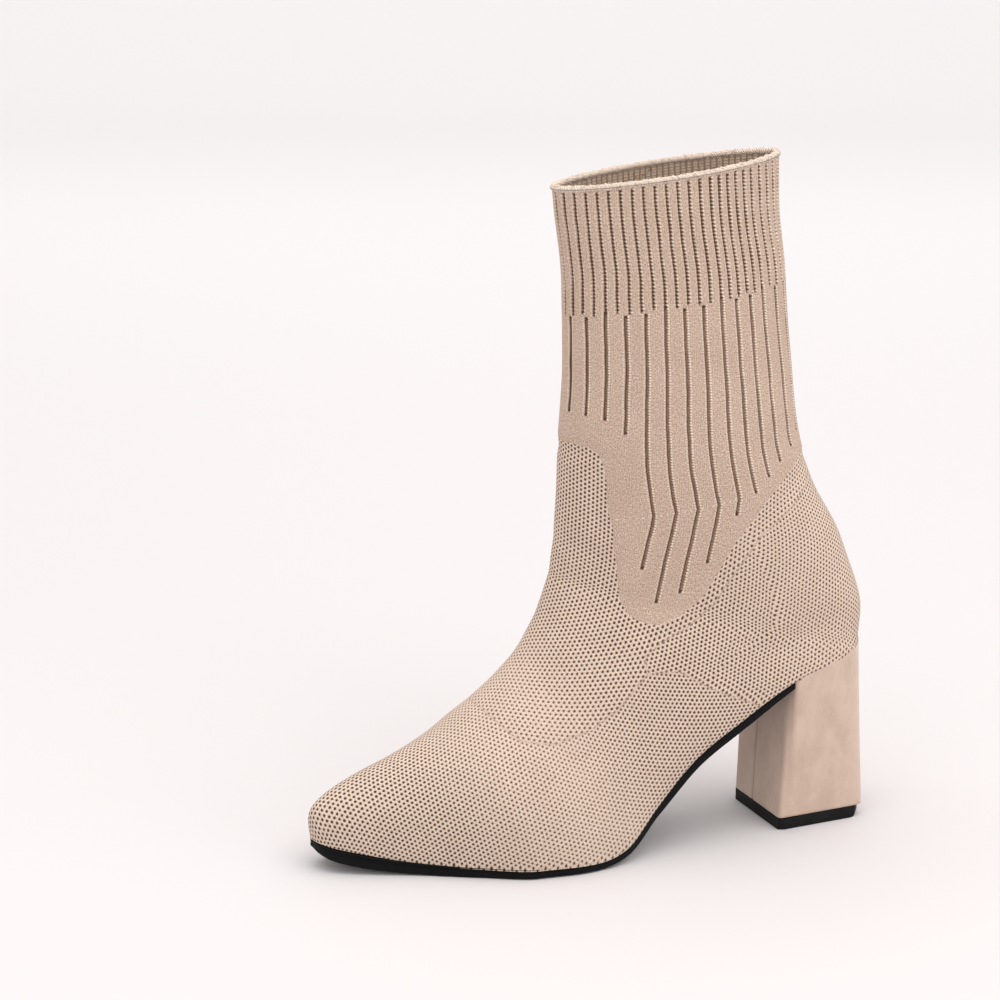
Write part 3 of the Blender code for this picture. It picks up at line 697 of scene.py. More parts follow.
class Nodes:
    """A material's node tree with short ways to add nodes."""

    def __init__(self, name):
        self.material = bpy.data.materials.new(name)
        self.material.use_nodes = True
        self.tree = self.material.node_tree
        self.shader = self.tree.nodes["Principled BSDF"]

    def add(self, kind):
        """New node of a kind."""
        return self.tree.nodes.new("ShaderNode" + kind)

    def put(self, socket, value):
        """Join an output to a socket, or set the socket to a plain number or colour."""
        if isinstance(value, Value):
            self.tree.links.new(value.socket, socket)
        else:
            socket.default_value = value

    def math(self, operation, *values):
        """Result of one operation on one or two numbers."""
        node = self.add("Math")
        node.operation = operation
        for socket, value in zip(node.inputs, values):
            self.put(socket, value)
        return Value(self, node.outputs[0])

    def wave(self, value, period):
        """Sine of a value, with a period in the value's own unit."""
        return self.math("SINE", value * (2 * math.pi / period))

    def ramp(self, value, low, high, out_low=0.0, out_high=1.0):
        """Smooth step from out_low at low to out_high at high, also where low is the larger one."""
        node = self.add("MapRange")
        node.interpolation_type = "SMOOTHSTEP"
        labels = ("Value", "From Min", "From Max", "To Min", "To Max")
        for label, given in zip(labels, (value, low, high, out_low, out_high)):
            self.put(node.inputs[label], given)
        return Value(self, node.outputs["Result"])

    def split(self, vector):
        """The three parts of a vector."""
        node = self.add("SeparateXYZ")
        self.put(node.inputs[0], vector)
        return [Value(self, part) for part in node.outputs]

    def attribute(self, name):
        """The three numbers that each point of the mesh carries under a name."""
        node = self.add("Attribute")
        node.attribute_name = name
        return self.split(Value(self, node.outputs["Vector"]))

    def place(self):
        """Place on the object, in metres."""
        return Value(self, self.add("TexCoord").outputs["Object"])

    def noise(self, vector, scale, detail=2.0, roughness=0.5, stretch=None):
        """Soft random tone round 0.5, its blots 1 / scale wide."""
        if stretch is not None:
            mapping = self.add("Mapping")
            mapping.inputs["Scale"].default_value = stretch
            self.put(mapping.inputs["Vector"], vector)
            vector = Value(self, mapping.outputs[0])
        node = self.add("TexNoise")
        labels = ("Vector", "Scale", "Detail", "Roughness")
        for label, given in zip(labels, (vector, scale, detail, roughness)):
            self.put(node.inputs[label], given)
        return Value(self, node.outputs["Fac"])

    def vector(self, x, y, z=0.0):
        """Vector of three numbers."""
        node = self.add("CombineXYZ")
        for socket, value in zip(node.inputs, (x, y, z)):
            self.put(socket, value)
        return Value(self, node.outputs[0])

    def mix(self, share, a, b):
        """Colour a, with a share of colour b laid over it."""
        node = self.add("Mix")
        node.data_type = "RGBA"
        for socket, value in zip((node.inputs["Factor"], node.inputs[6], node.inputs[7]), (share, a, b)):
            self.put(socket, value)
        return Value(self, node.outputs[2])

    def blend(self, share, a, b):
        """Number a turning into number b as the share goes from 0 to 1."""
        return a * (1.0 - share) + b * share

    def bump(self, height, distance, strength):
        """Normal of a surface whose relief is distance metres high where height is 1."""
        node = self.add("Bump")
        for label, given in zip(("Distance", "Strength", "Height"), (distance, strength, height)):
            self.put(node.inputs[label], given)
        return Value(self, node.outputs["Normal"])

    def finish(self, colour, roughness, normal=None, **more):
        """Join the results to the shader, set its other sockets, and hand back the material."""
        self.put(self.shader.inputs["Base Color"], colour)
        self.put(self.shader.inputs["Roughness"], roughness)
        if normal is not None:
            self.put(self.shader.inputs["Normal"], normal)
        for label, value in more.items():
            self.shader.inputs[label.replace("_", " ")].default_value = value
        return self.material


YARN = (0.485, 0.357, 0.282, 1)
YARN_LIGHT = (0.740, 0.580, 0.475, 1)
YARN_SHADE = (0.300, 0.200, 0.145, 1)
print("yarn: tone, light side, shaded side", YARN[:3], YARN_LIGHT[:3], YARN_SHADE[:3])

# %% [markdown]
# ## Knitted yarn
# The real upper is one knit with three faces: an open mesh over the foot, plain stitches in the bib, and
# ribs with ladders of dropped stitches in the shaft. The mesh has thousands of holes, far too many to cut,
# so the material draws them from the coordinates that each point carries. In a hexagonal lattice every
# second column is set down by half a step. The loops round the holes get a painted highlight, and each
# hole is painted dark, as shade in the opening, within a softer painted shade. A groove is a real trough
# whose floor is painted brown shade, with deeper painted shade along it and rows of light stitches beside it.

# %% Knit
WALE_STEP, COURSE_STEP = 1.80, 1.91
STITCH_WIDE, STITCH_LONG = 0.90, 0.75
# Painted shade inside the holes, and a painted highlight on the loops round them
HOLE_SHADE = (0.050, 0.022, 0.012, 1)
LOOP_HIGHLIGHT = (0.86, 0.72, 0.61, 1)
STITCH_COLOUR = (0.92, 0.78, 0.66, 1)
# For each kind of groove: half width, place of its beads and their spacing in millimetres, how far its
# edge swings, tone of the beads at their faintest and brightest, and share of the second row of beads
GROOVES = {
    "narrow": (0.46, 1.00, 1.50, 0.20, 0.25, 0.80, 0.35),
    "wide": (0.60, 1.25, 1.12, 0.06, 0.60, 1.00, 0.65),
}


def groove_shades(n, place, v):
    """Shares of painted shade on the groove floor, of deeper painted shade and of light stitches, over all
    grooves.

    The distance from the nearest groove is the count's distance from a whole number, times the pitch. It
    wavers with the stitches and with a slow noise. Floor, deep shade and beads are smooth steps of it.
    """
    dark, deep, light = 0.0, 0.0, 0.0
    for name, (half, bead, beat, swing, faint, bright, second) in GROOVES.items():
        count, inside, pitch = n.attribute(name)
        beat_at = n.wave(v, beat)
        off = (count - n.math("ROUND", count)) * pitch + beat_at * 0.10
        off = off + (n.noise(place, 75.0, 1.0) - 0.5) * 0.9
        live = n.ramp(inside, -0.3, 0.3)
        away = abs(off) + beat_at * swing
        # Painted shade: the groove's floor is darkened, and deeper painted shade lies in the middle of a
        # narrow groove and along one edge and near the end of a wide one
        trough = n.ramp(away, half + 0.22, half - 0.18) * live
        dark = n.math("MAXIMUM", dark, trough)
        if name == "narrow":
            deep = n.math("MAXIMUM", deep, n.ramp(away, half, 0.05) * live)
        else:
            edge = abs(off + half * 0.75)
            deep = n.math("MAXIMUM", deep, n.ramp(edge, 0.34, 0.10) * live)
            deep = n.math("MAXIMUM", deep, n.ramp(abs(inside - 0.7), 0.9, 0.3) * trough)
        pulse = n.ramp(beat_at, -0.6, 0.5)
        patchy = n.ramp(n.noise(place, 230.0, 1.0), 0.30, 0.62, faint, bright)
        beads = n.ramp(abs(off - bead), 0.48, 0.16) * live
        light = n.math("MAXIMUM", light, beads * pulse * patchy)
        beads = n.ramp(abs(off + bead * 0.95), 0.36, 0.14) * (live * second)
        light = n.math("MAXIMUM", light, beads * pulse)
    return dark, deep, light


def knit_material():
    """Knitted yarn: hexagonal mesh of holes in the foot, plain stitches in the bib, grooves in the shaft."""
    n = Nodes("knit")
    toe_in, heel_in, mesh_in = n.attribute("zones")
    fields = [n.attribute(f"field_{k}") for k in range(3)]
    in_toe, in_heel = [n.math("GREATER_THAN", zone, 0.0) for zone in (toe_in, heel_in)]
    u, v = [n.blend(in_toe, n.blend(in_heel, fields[0][k], fields[1][k]), fields[2][k]) for k in (0, 1)]
    place = n.place()
    u = u + (n.noise(place, 110.0, 1.0) - 0.5) * 0.25

    # Distance from the nearest hole's centre, with holes a little uneven and tighter where the knit is
    column = u / WALE_STEP
    nearest = n.math("ROUND", column)
    row = v / COURSE_STEP + abs(n.math("MODULO", nearest, 2.0)) * 0.5
    off_u = (column - nearest) * WALE_STEP
    off_v = (row - n.math("ROUND", row)) * COURSE_STEP
    reach = n.math("SQRT", off_u * off_u + off_v * off_v)
    uneven = (n.noise(place, 420.0, 1.0) - 0.5) * 0.22 + (off_v + abs(off_u) * 1.2) * 0.10
    reached = reach + uneven + fields[0][2]
    in_mesh = n.ramp(mesh_in, 0.2, 0.8)
    seam = n.math("MINIMUM", abs(toe_in), n.math("MAXIMUM", abs(heel_in), toe_in))
    seam = n.ramp(seam, 1.0, 0.3) * in_mesh
    # Each hole is painted dark, as shade in the opening, and a softer painted shade rings it
    hole = n.ramp(reached, 0.62, 0.38) * in_mesh * (1.0 - seam * 0.35)
    hole_rim_shade = n.ramp(reached, 0.86, 0.52, 0.0, 0.30)
    # Painted highlight on the loops round each hole, brighter on one side
    loop_highlight = n.ramp(abs(reach - 0.98), 0.36, 0.05) * in_mesh * n.ramp(off_v, -0.9, 0.9, 0.35, 1.0)

    # Plain stitches, the fibres of the yarn, and the grain of uneven loops
    stitch_u = n.wave(u, STITCH_WIDE)
    stitch_v = n.math("SINE", v * (2 * math.pi / STITCH_LONG) + stitch_u * 0.9)
    stitch = stitch_u * 0.5 + stitch_v * 0.5
    fibre = n.noise(place, 1500.0, 3.0, 0.6)
    grain = n.noise(n.vector(u * 1.9, v * 1.35), 1.0, 2.0, 0.7)
    tone = n.noise(place, 55.0, 3.0, 0.6)

    dark, deep, light = groove_shades(n, place, v)
    turn = n.attribute("turn")
    turn_row = n.ramp(abs(turn[0]), 0.50, 0.15) * n.ramp(turn[1], 0.0, 0.6)
    dashes = n.wave(turn[2], 2.3) + (n.noise(place, 160.0, 1.0) - 0.5) * 3.0
    light = n.math("MAXIMUM", light, turn_row * n.ramp(dashes, 0.0, 1.0) * 0.6)
    light = light * (1.0 - dark * 0.8)

    mesh_yarn = n.mix(n.ramp(toe_in, -10.0, 40.0), (0.605, 0.456, 0.364, 1), (0.580, 0.458, 0.368, 1))
    # Painted shade of the groove floors, a little lighter where the fibres are
    groove_floor_shade = n.mix(n.ramp(fibre, 0.35, 0.65), (0.150, 0.082, 0.048, 1), (0.270, 0.170, 0.110, 1))
    colour = n.mix(in_mesh * 0.85, YARN, mesh_yarn)
    for share, paint in (
        (n.ramp(stitch, -0.2, 1.0, 0.0, 0.28), YARN_LIGHT),
        (n.ramp(stitch, -0.2, -1.0, 0.0, 0.30), YARN_SHADE),
        (n.ramp(grain, 0.50, 0.66, 0.0, 0.85), YARN_LIGHT),
        (n.ramp(grain, 0.50, 0.34, 0.0, 0.80), YARN_SHADE),
        (n.ramp(fibre, 0.45, 0.75, 0.0, 0.20), YARN_LIGHT),
        (n.ramp(tone, 0.35, 0.70, 0.0, 0.12), YARN_SHADE),
        (light * 0.95, STITCH_COLOUR),
        # Painted highlight on the loops round the holes
        (loop_highlight * 0.58, LOOP_HIGHLIGHT),
        # Painted shade round the holes, on the groove floors and deep in the grooves
        (hole_rim_shade * in_mesh, (0.200, 0.122, 0.082, 1)),
        (dark * 0.88, groove_floor_shade),
        (deep * 0.85, (0.062, 0.030, 0.016, 1)),
        (seam * 0.18, YARN_SHADE),
        # Painted shade in the holes
        (hole * 0.93, HOLE_SHADE),
    ):
        colour = n.mix(share, colour, paint)
    height = stitch * 0.16 - hole + light * 0.5 - dark * 0.6 + grain * 0.5
    normal = n.bump(height, 0.0006, 0.7)
    return n.finish(colour, 0.92, normal, Sheen_Weight=0.04, Sheen_Roughness=0.5, Specular_IOR_Level=0.10)


KNIT = knit_material()
print(f"knit: holes in columns {WALE_STEP} mm apart, {COURSE_STEP} mm apart in a column")

# %% [markdown]
# ## Rim yarn and lining
# The collar's edge is rolled over and shows slanted loops of paler yarn. Inside, the knit shows its back: a
# fine grid of floats in a browner tone. Both are read from distances that the pieces carry, so the loops
# keep their size round the curve.

# %% Rim yarn and lining
def rim_material():
    """Rolled edge of the collar: pale twisted yarn, a slanted wave with knots and fibres over it."""
    n = Nodes("rim_yarn")
    u, v, _ = n.attribute("strand")
    loops = n.wave(u + v * 0.8, 1.05)
    fibre = n.noise(n.place(), 1400.0, 3.0, 0.6)
    knots = n.noise(n.place(), 480.0, 2.0, 0.6)
    # Painted shade in the dips of the relief: between the slanted loops and in the low places between the
    # knots
    colour = n.mix(n.ramp(loops, -1.0, 1.0, 0.16, 0.0), (0.90, 0.73, 0.60, 1), YARN_SHADE)
    colour = n.mix(n.ramp(knots, 0.48, 0.34, 0.0, 0.45), colour, YARN_SHADE)
    colour = n.mix(n.ramp(fibre, 0.4, 0.70, 0.0, 0.6), colour, (0.97, 0.85, 0.74, 1))
    normal = n.bump(loops * 0.5 + knots * 1.6, 0.0006, 0.9)
    return n.finish(colour, 0.95, normal, Sheen_Weight=0.05, Specular_IOR_Level=0.15)


def lining_material():
    """Inner face of the knit: dark lines every 2.6 mm round it and rungs every 1.2 mm along it."""
    n = Nodes("lining_knit")
    u, v, _ = n.attribute("strand")
    lines = n.ramp(n.wave(u, 2.6), 0.1, 0.95)
    rungs = n.ramp(n.wave(v, 1.2), 0.0, 0.95)
    fibre = n.noise(n.place(), 1200.0, 3.0, 0.6)
    blots = n.noise(n.place(), 520.0, 2.0, 0.6)
    grid = n.math("MAXIMUM", lines, rungs * 0.6)
    colour = n.mix(grid * 0.75, (0.60, 0.46, 0.35, 1), (0.20, 0.125, 0.085, 1))
    colour = n.mix(n.ramp(blots, 0.46, 0.28, 0.0, 0.6), colour, (0.22, 0.14, 0.095, 1))
    colour = n.mix(n.ramp(fibre, 0.4, 0.75, 0.0, 0.25), colour, (0.80, 0.68, 0.56, 1))
    return n.finish(colour, 0.95, n.bump(fibre * 0.4 - grid, 0.0004, 0.7), Specular_IOR_Level=0.15)


RIM, LINING = rim_material(), lining_material()
print("rim and lining:", RIM.name, LINING.name)

# %% [markdown]
# ## Suede and rubber
# The heel is wrapped in suede, a leather with a short nap that brushes into lighter and darker patches. The
# sole and the heel's top piece are black rubber, dull and a little scuffed. Noise on the object's own place
# gives both their uneven tone, and bump gives the nap and the moulded grain.

# %% Suede and rubber
def suede_material():
    """Suede of the heel cover: short nap with brushed patches, and a soft line of shade in the seam."""
    n = Nodes("heel_suede")
    place = n.place()
    patches = n.noise(place, 85.0, 5.0, 0.68, stretch=(1.0, 1.0, 0.6))
    nap = n.noise(place, 900.0, 4.0, 0.65)
    grain = n.noise(place, 2600.0, 2.0, 0.6)
    seam = n.attribute("seam")[0]
    colour = n.mix(n.ramp(patches, 0.35, 0.68), (0.612, 0.463, 0.377, 1), (0.520, 0.384, 0.304, 1))
    colour = n.mix(n.ramp(nap, 0.42, 0.72, 0.0, 0.30), colour, (0.62, 0.48, 0.39, 1))
    colour = n.mix(n.ramp(grain, 0.5, 0.8, 0.0, 0.3), colour, (0.42, 0.29, 0.22, 1))
    colour = n.mix(n.ramp(seam, 0.55, 0.1, 0.0, 0.55), colour, (0.20, 0.13, 0.10, 1))
    normal = n.bump(nap * 0.6 + grain * 0.5, 0.0003, 0.55)
    return n.finish(colour, 0.95, normal, Sheen_Weight=0.35, Sheen_Roughness=0.45, Specular_IOR_Level=0.15)


def rubber_material(name, tone):
    """Black rubber of sole and heel tip: fine moulded grain, duller and paler where it is scuffed."""
    n = Nodes(name)
    place = n.place()
    grain = n.noise(place, 1600.0, 2.0, 0.5)
    scuff = n.noise(place, 90.0, 4.0, 0.6)
    clean, worn = (tone, tone, tone * 1.05, 1), (tone * 1.9, tone * 1.85, tone * 1.9, 1)
    colour = n.mix(n.ramp(scuff, 0.4, 0.75), clean, worn)
    roughness = n.ramp(scuff, 0.35, 0.75, 0.42, 0.62)
    return n.finish(colour, roughness, n.bump(grain, 0.00012, 0.5), Specular_IOR_Level=0.12)


SUEDE = suede_material()
RUBBER, TIP_RUBBER = rubber_material("sole_rubber", 0.0030), rubber_material("tip_rubber", 0.0060)
print("heel and sole:", SUEDE.name, RUBBER.name, TIP_RUBBER.name)

# %% [markdown]
# ## Tape and insole cloth
# A woven tape covers the back seam inside the collar, and cloth covers the insole. Both are barely seen, so
# each is a plain weave: a herringbone for the tape, and crossed waves for the cloth.

# %% Tape and insole cloth
def tape_material():
    """Woven tape: a fine herringbone of off-white threads, a wave that folds back every millimetre."""
    n = Nodes("ribbon_weave")
    u, v, _ = n.attribute("strand")
    twill = n.wave(v + n.math("PINGPONG", u, 1.0), 0.8)
    fibre = n.noise(n.place(), 1500.0, 2.0, 0.6)
    colour = n.mix(n.ramp(twill, -0.8, 0.8), (0.62, 0.60, 0.56, 1), (0.82, 0.81, 0.78, 1))
    return n.finish(colour, 0.85, n.bump(twill + fibre, 0.0002, 0.6), Specular_IOR_Level=0.25)


def insole_material():
    """Insole cover: fine woven cloth, the product of two waves 1.1 mm long."""
    n = Nodes("insole_cloth")
    place = n.place()
    x, y, _ = n.split(place)
    weave = n.wave(x, 0.0011) * n.wave(y, 0.0011)
    tone = n.noise(place, 70.0, 3.0, 0.6)
    colour = n.mix(n.ramp(weave, -0.6, 0.6), (0.40, 0.30, 0.22, 1), (0.55, 0.43, 0.33, 1))
    colour = n.mix(n.ramp(tone, 0.4, 0.7, 0.0, 0.3), colour, (0.30, 0.22, 0.16, 1))
    return n.finish(colour, 0.9, n.bump(weave, 0.0002, 0.5), Specular_IOR_Level=0.2)


TAPE, INSOLE = tape_material(), insole_material()
print("materials:", len(bpy.data.materials))

# %% [markdown]
# ## The upper
# One grid covers the outer skin. Its columns follow the grooves exactly, twelve to a narrow rib, down to
# the heel, and half as many go on to the toe: one row of triangles joins the two stretches. The grooves
# are real troughs in the mesh, with round ribs between. A worn-in sock also has soft creases and isn't as
# straight as its last. These are listed one by one in millimetres of the side view, as noise would put them
# in the wrong places. The margin that is turned in under the foot is a piece of its own.

# %% Creases and set
# Soft troughs of the outer skin in the side view: start, end, half width and depth, in millimetres
CREASES = np.array([
    (-53, 77, -2, 94, 6.5, 0.55),
    (-112, 172, -99, 171, 2.6, 0.50),
    (-108, 132, -97, 126, 4.0, 0.35),
    (-38, 170, -16, 176, 4.5, 0.35),
    (-120, 100, -98, 88, 5.0, 0.30),
    (-90, 212, -45, 205, 7.0, 0.40),
])
SHAFT_SWAY, HEEL_SWAY = 2.1, 2.2


def creases(y, z, mesh_in, toe_in):
    """Depth of the main creases in millimetres, all placed one by one.

    A crease is a bell across a straight line, exp(-(distance / half width)^2), less a share of a wider
    bell, so it has soft ridges beside it. Three more follow the knit itself: a trough before the front
    edge of the bib, a raised border with a trough below it along the rest of the bib, and a faint dip
    where the lattice turns over the vamp.
    """
    depth = np.zeros(y.shape)
    for y0, z0, y1, z1, half, deep in CREASES:
        run = np.array([y1 - y0, z1 - z0], float)
        t = np.clip(((y - y0) * run[0] + (z - z0) * run[1]) / (run @ run), 0, 1)
        away = np.hypot(y - y0 - t * run[0], z - z0 - t * run[1]) / half
        depth += deep * (1.3 * np.exp(-away ** 2) - 0.3 * np.exp(-(away / 2.2) ** 2))
    front = smooth((-86 - y) / 5) * smooth((z - 98) / 10) * smooth((172 - z) / 8)
    depth += 0.55 * front * np.exp(-((mesh_in - 4.0) / 3.0) ** 2)
    behind = smooth((y + 90) / 8)
    depth -= 0.30 * behind * np.exp(-((mesh_in - 1.2) / 1.3) ** 2)
    depth += 0.40 * behind * np.exp(-((mesh_in - 6.0) / 3.5) ** 2)
    return depth + 0.22 * np.exp(-(toe_in / 1.6) ** 2) * smooth((-95 - y) / 6)


def sway(points):
    """Soft set of the worn-in sock: the shaft leans back a little below the band, and the heel fills out.

    Both are bell shapes over the height, moved along Y. The heel's part fades out towards the front.
    """
    y, z = points[..., 1] / MM, points[..., 2] / MM
    shaft = smooth((z - 163) / 46) * (1 - smooth((z - 240) / 32))
    heel = np.exp(-((z - 131) / 15) ** 2) * smooth((y + 52) / 42)
    moved = points.copy()
    moved[..., 1] += (SHAFT_SWAY * shaft + HEEL_SWAY * heel) * MM
    return moved


print(f"{len(CREASES)} creases, the deepest {CREASES[:, 5].max()} mm; shaft back by {SHAFT_SWAY} mm at most")

# %% Relief of the knit
GROOVE_DEPTH, GROOVE_HALF, RIB_CROWN = 0.00100, 0.00066, 0.30
EDGE_ROLL, BIB_PROUD = 0.0014, 0.00015
# Width of a leaning groove's rib, in millimetres
LEAN_PITCH = 8.1 * np.cos(math.atan(TURN_LEAN)) * 1.06
# How far the holes are pulled open, at distances towards the toe in millimetres
STRETCH_AT = (-10, 25, 55, 95, 125, 165, 195)
STRETCH = (0.10, 0.02, 0.0, 0.04, 0.17, 0.12, 0.0)


def groove_relief(count, inside, pitch):
    """Depth of one kind of groove as a share of the full depth.

    A trough is exp(-(distance / GROOVE_HALF)^2), less a cosine over the rib, which makes its sides round.
    Both fade in over a millimetre where the grooves begin.
    """
    from_middle = count - np.round(count)
    trough = np.exp(-(np.abs(from_middle) * pitch * MM / GROOVE_HALF) ** 2)
    crown = RIB_CROWN * (1 - np.cos(2 * math.pi * from_middle)) / 2
    return smooth(inside / 1.2 + 0.5) * (trough - crown)


def edge_roll(at, around):
    """How far the knit's lower edge rolls over the sole: near the sole line, from the arch to the ball."""
    place = at[:, None] - BREAST_ROW
    low = smooth((np.abs(around) - 0.90) / 0.10)
    return EDGE_ROLL * (low * smooth((place - 2.2) / 1.6) * smooth((9.5 - place) / 2.5))


def surface_part(at, wide, tables=None):
    """Points and knit attributes of one stretch of the outer skin, as grids.

    A point is the last's, less the depth of grooves and creases along the normal, less the roll of the
    edge in height. The attributes are what the material reads, all in millimetres or groove counts.
    """
    inner, outer = around_at(at, girth_share(wide))
    around = np.where(wide[None, :] > 0.5, outer, -inner)
    base = skin(at[:, None], around)
    normal = grid_normals(base)
    wide_grid = np.broadcast_to(wide[None, :], around.shape)
    tables = tables or counts_at_turn(base, wide)
    count, wide_in, narrow, narrow_in = knit_lines(base, wide_grid, tables)
    pitch = np.linalg.norm(np.gradient(base, axis=1), axis=-1) / np.abs(np.gradient(wide))[None, :] / MM
    y, z = base[..., 1] / MM, base[..., 2] / MM
    leaning = (count != wide_grid) & (y < LEAN_BACK)
    kinds = {
        "narrow": (narrow, narrow_in, pitch / NARROW_PER_WIDE),
        "wide": (count, wide_in, np.where(leaning, LEAN_PITCH, pitch)),
    }
    depth = np.zeros(around.shape)
    for lines in kinds.values():
        depth = np.maximum(depth, groove_relief(*lines))
    toe, heel = zones(base)
    mesh_in = -signed_distance(base.reshape(-1, 3)[:, 1:] / MM, BIB_LINE).reshape(around.shape)
    points = base - normal * (depth * GROOVE_DEPTH + creases(y, z, mesh_in, toe) * MM)[..., None]
    points[..., 2] -= edge_roll(at, around)
    points += normal * (smooth(-mesh_in / 1.5) * BIB_PROUD)[..., None]
    attributes = {"zones": (toe, heel, mesh_in)} | kinds
    attributes["turn"] = (z - turn_height(y), np.minimum(-mesh_in, TURN_LINE[-1, 0] - y), y)
    stretch = np.interp(towards_toe(y, z), STRETCH_AT, STRETCH)
    for k, field in enumerate(FIELDS):
        u, v = np.moveaxis(read_net(NET_AT, NET_AROUND, field, at, around), -1, 0)
        attributes[f"field_{k}"] = (u, v, stretch)
    return points, {label: np.stack(values, -1) for label, values in attributes.items()}, tables


print(f"grooves {GROOVE_DEPTH / MM} mm deep and {2 * GROOVE_HALF / MM} mm wide")

# %% Outer skin
# The columns halve at the station CHANGE
SHAFT_ROWS, FOOT_ROWS, CHANGE = 96, 100, 9.6


def make_outer():
    """The outer skin of the sock, collar to toe, as one grid piece that stands for the CAD upper."""
    wide = np.linspace(1 - WIDE_AT[-1], WIDE_AT[-1], COLUMNS + 1)
    wide[0] += 1e-6
    upper_at = stations(RIM_ROWS * 0.75, CHANGE, SHAFT_ROWS, 0.6)
    lower_at = stations(CHANGE, TOE_ROW - 0.004, FOOT_ROWS + 1, 0.45)[1:]
    top, top_attributes, tables = surface_part(upper_at, wide)
    low, low_attributes, _ = surface_part(lower_at, wide[::2], tables)
    points = np.concatenate([top.reshape(-1, 3), low.reshape(-1, 3)])
    columns, half = COLUMNS + 1, COLUMNS // 2 + 1
    start = SHAFT_ROWS * columns
    j = np.arange(half - 1)
    above, below = (SHAFT_ROWS - 1) * columns + 2 * j, start + j
    faces = [
        grid_faces(SHAFT_ROWS, columns),
        grid_faces(FOOT_ROWS, half, start=start),
        np.stack([above, above + 1, below], -1),
        np.stack([above + 1, below + 1, below], -1),
        np.stack([above + 1, above + 2, below + 1], -1),
    ]
    attributes = [
        (label, np.concatenate([values.reshape(-1, 3), low_attributes[label].reshape(-1, 3)]))
        for label, values in top_attributes.items()
    ]
    return build_mesh("knit_upper", sway(points), faces, KNIT, attributes)


outer = make_outer()

# %% [markdown]
# ## Rim, lining and margin
# On the real sock the collar is knitted double and rolls over, so a thick cord of loops runs round it. A
# bevelled edge would look machined, so an oval profile is carried round the collar's curve instead, and
# three waves and a row of knots make its thickness waver. The lining is the same skin one wall's thickness
# further in. The margin is the strip of knit that is turned in under the foot and glued to the insole.

# %% Rim
def make_rim():
    """Rolled edge: an oval profile carried round the collar's curve.

    At an angle t of the profile a point lies at centre + out * wide * cos t + up * high * sin t, both
    swollen by three slow sine waves along the rim and by knots that wind round it.
    """
    at = RIM_ROWS * 0.5
    turn = np.linspace(-1, 1, 721)[:-1]
    inner, outer_side = around_at(np.array([at]), np.abs(turn))
    path = skin(np.full(len(turn), at), np.where(turn < 0, -inner[0], outer_side[0]))
    tangent = unit(np.roll(path, -1, 0) - np.roll(path, 1, 0))
    out = unit(np.cross(tangent, (0, 0, 1.0)))
    out *= np.sign(((path - path.mean(0)) * out).sum(1)).mean()
    up_here = unit(np.cross(out, tangent))
    up_here *= np.sign(up_here[:, 2:3])
    ring = np.linspace(0, 2 * math.pi, 21)[:-1]
    run = run_along(path)
    along = run / MM * 2 * math.pi
    wave = 1 + 0.07 * np.sin(along / 5.4) + 0.06 * np.sin(along / 3.1 + 1.3) + 0.05 * np.sin(along / 17.0)
    winding = 1.7 * np.sin(ring)[None, :] + 0.8 * np.sin(along[:, None] / 7.3)
    knots = 1 + 0.10 * np.sin(along[:, None] / 1.55 + winding)
    swell = (wave[:, None] * knots)[..., None]
    wide, high = (WALL / 2 + RIM_BEAD * 0.85), RIM_HEIGHT * 0.62
    centre = path - out * (WALL / 2)
    points = (
        centre[:, None]
        + out[:, None] * (np.cos(ring)[None, :, None] * wide * swell)
        + up_here[:, None] * (np.sin(ring)[None, :, None] * high * swell)
    )
    strand = np.stack(np.broadcast_arrays(run[:, None] / MM, ring[None, :] * 1.2, 0.0), -1)
    rows, columns = points.shape[:2]
    faces = grid_faces(rows + 1, columns, closed=True) % (rows * columns)
    return build_mesh("collar_rim", points.reshape(-1, 3), [faces], RIM, [("strand", strand.reshape(-1, 3))])


rim = make_rim()


# %% Lining and margin
def make_lining():
    """Inner face of the wall: the skin moved in by one wall, its edges brought down to the margin's top.

    Its strand attribute holds the distances round and along it in millimetres.
    """
    at = stations(RIM_ROWS * 0.5, TOE_ROW - 0.12, 150, 0.5)
    around = np.linspace(-1, 1, 181)
    base = skin(at[:, None], around[None, :])
    points = base - grid_normals(base) * WALL
    form = last(at)
    half = np.maximum(form["sole"] - WALL, 0)
    middle = spine(form["back_y"]) - form["back_in"]
    foot = at > HEEL_ROW
    for column, side in ((0, -1), (-1, 1)):
        points[foot, column, 0] = (middle + side * half)[foot]
        points[foot, column, 2] = form["back_z"][foot] + WALL
    run_u, run_v = run_along(base, axis=1), run_along(base, axis=0)
    strand = np.stack([run_u / MM, run_v / MM, 0 * run_u], -1).reshape(-1, 3)
    faces = grid_faces(*points.shape[:2])[:, ::-1]
    return build_mesh("knit_lining", sway(points.reshape(-1, 3)), [faces], LINING, [("strand", strand)])


def make_margin():
    """Margin of the upper turned in under the foot, one strip on each side, from the heel to the toe.

    Across a strip, points go from the sole line inwards to the edge of the opening. That edge's half
    width is the square root of the sole's squared, less a constant, so the opening ends in round points.
    """
    at = stations(HEEL_ROW + 0.02, TOE_ROW - 0.05, 160, 0.9)
    form = last(at)
    reach = LASTING_MARGIN * (SEAT_WIDTH - LASTING_MARGIN)
    hole = np.sqrt(np.maximum(form["sole"] ** 2 - reach, 0))
    middle = spine(form["back_y"]) - form["back_in"]
    share = np.linspace(0, 1, 6)
    strips = []
    for side in (-1, 1):
        x = middle[:, None] + side * (form["sole"][:, None] * (1 - share) + hole[:, None] * share)
        y, z = [np.broadcast_to(form[name][:, None], x.shape) for name in ("back_y", "back_z")]
        strips.append(np.stack([x, y, z], -1).reshape(-1, 3))
    faces = [grid_faces(len(at), len(share), start=start) for start in (0, len(strips[0]))]
    points = np.concatenate(strips)
    return build_mesh("knit_margin", points, faces, LINING, [("strand", points / MM)])


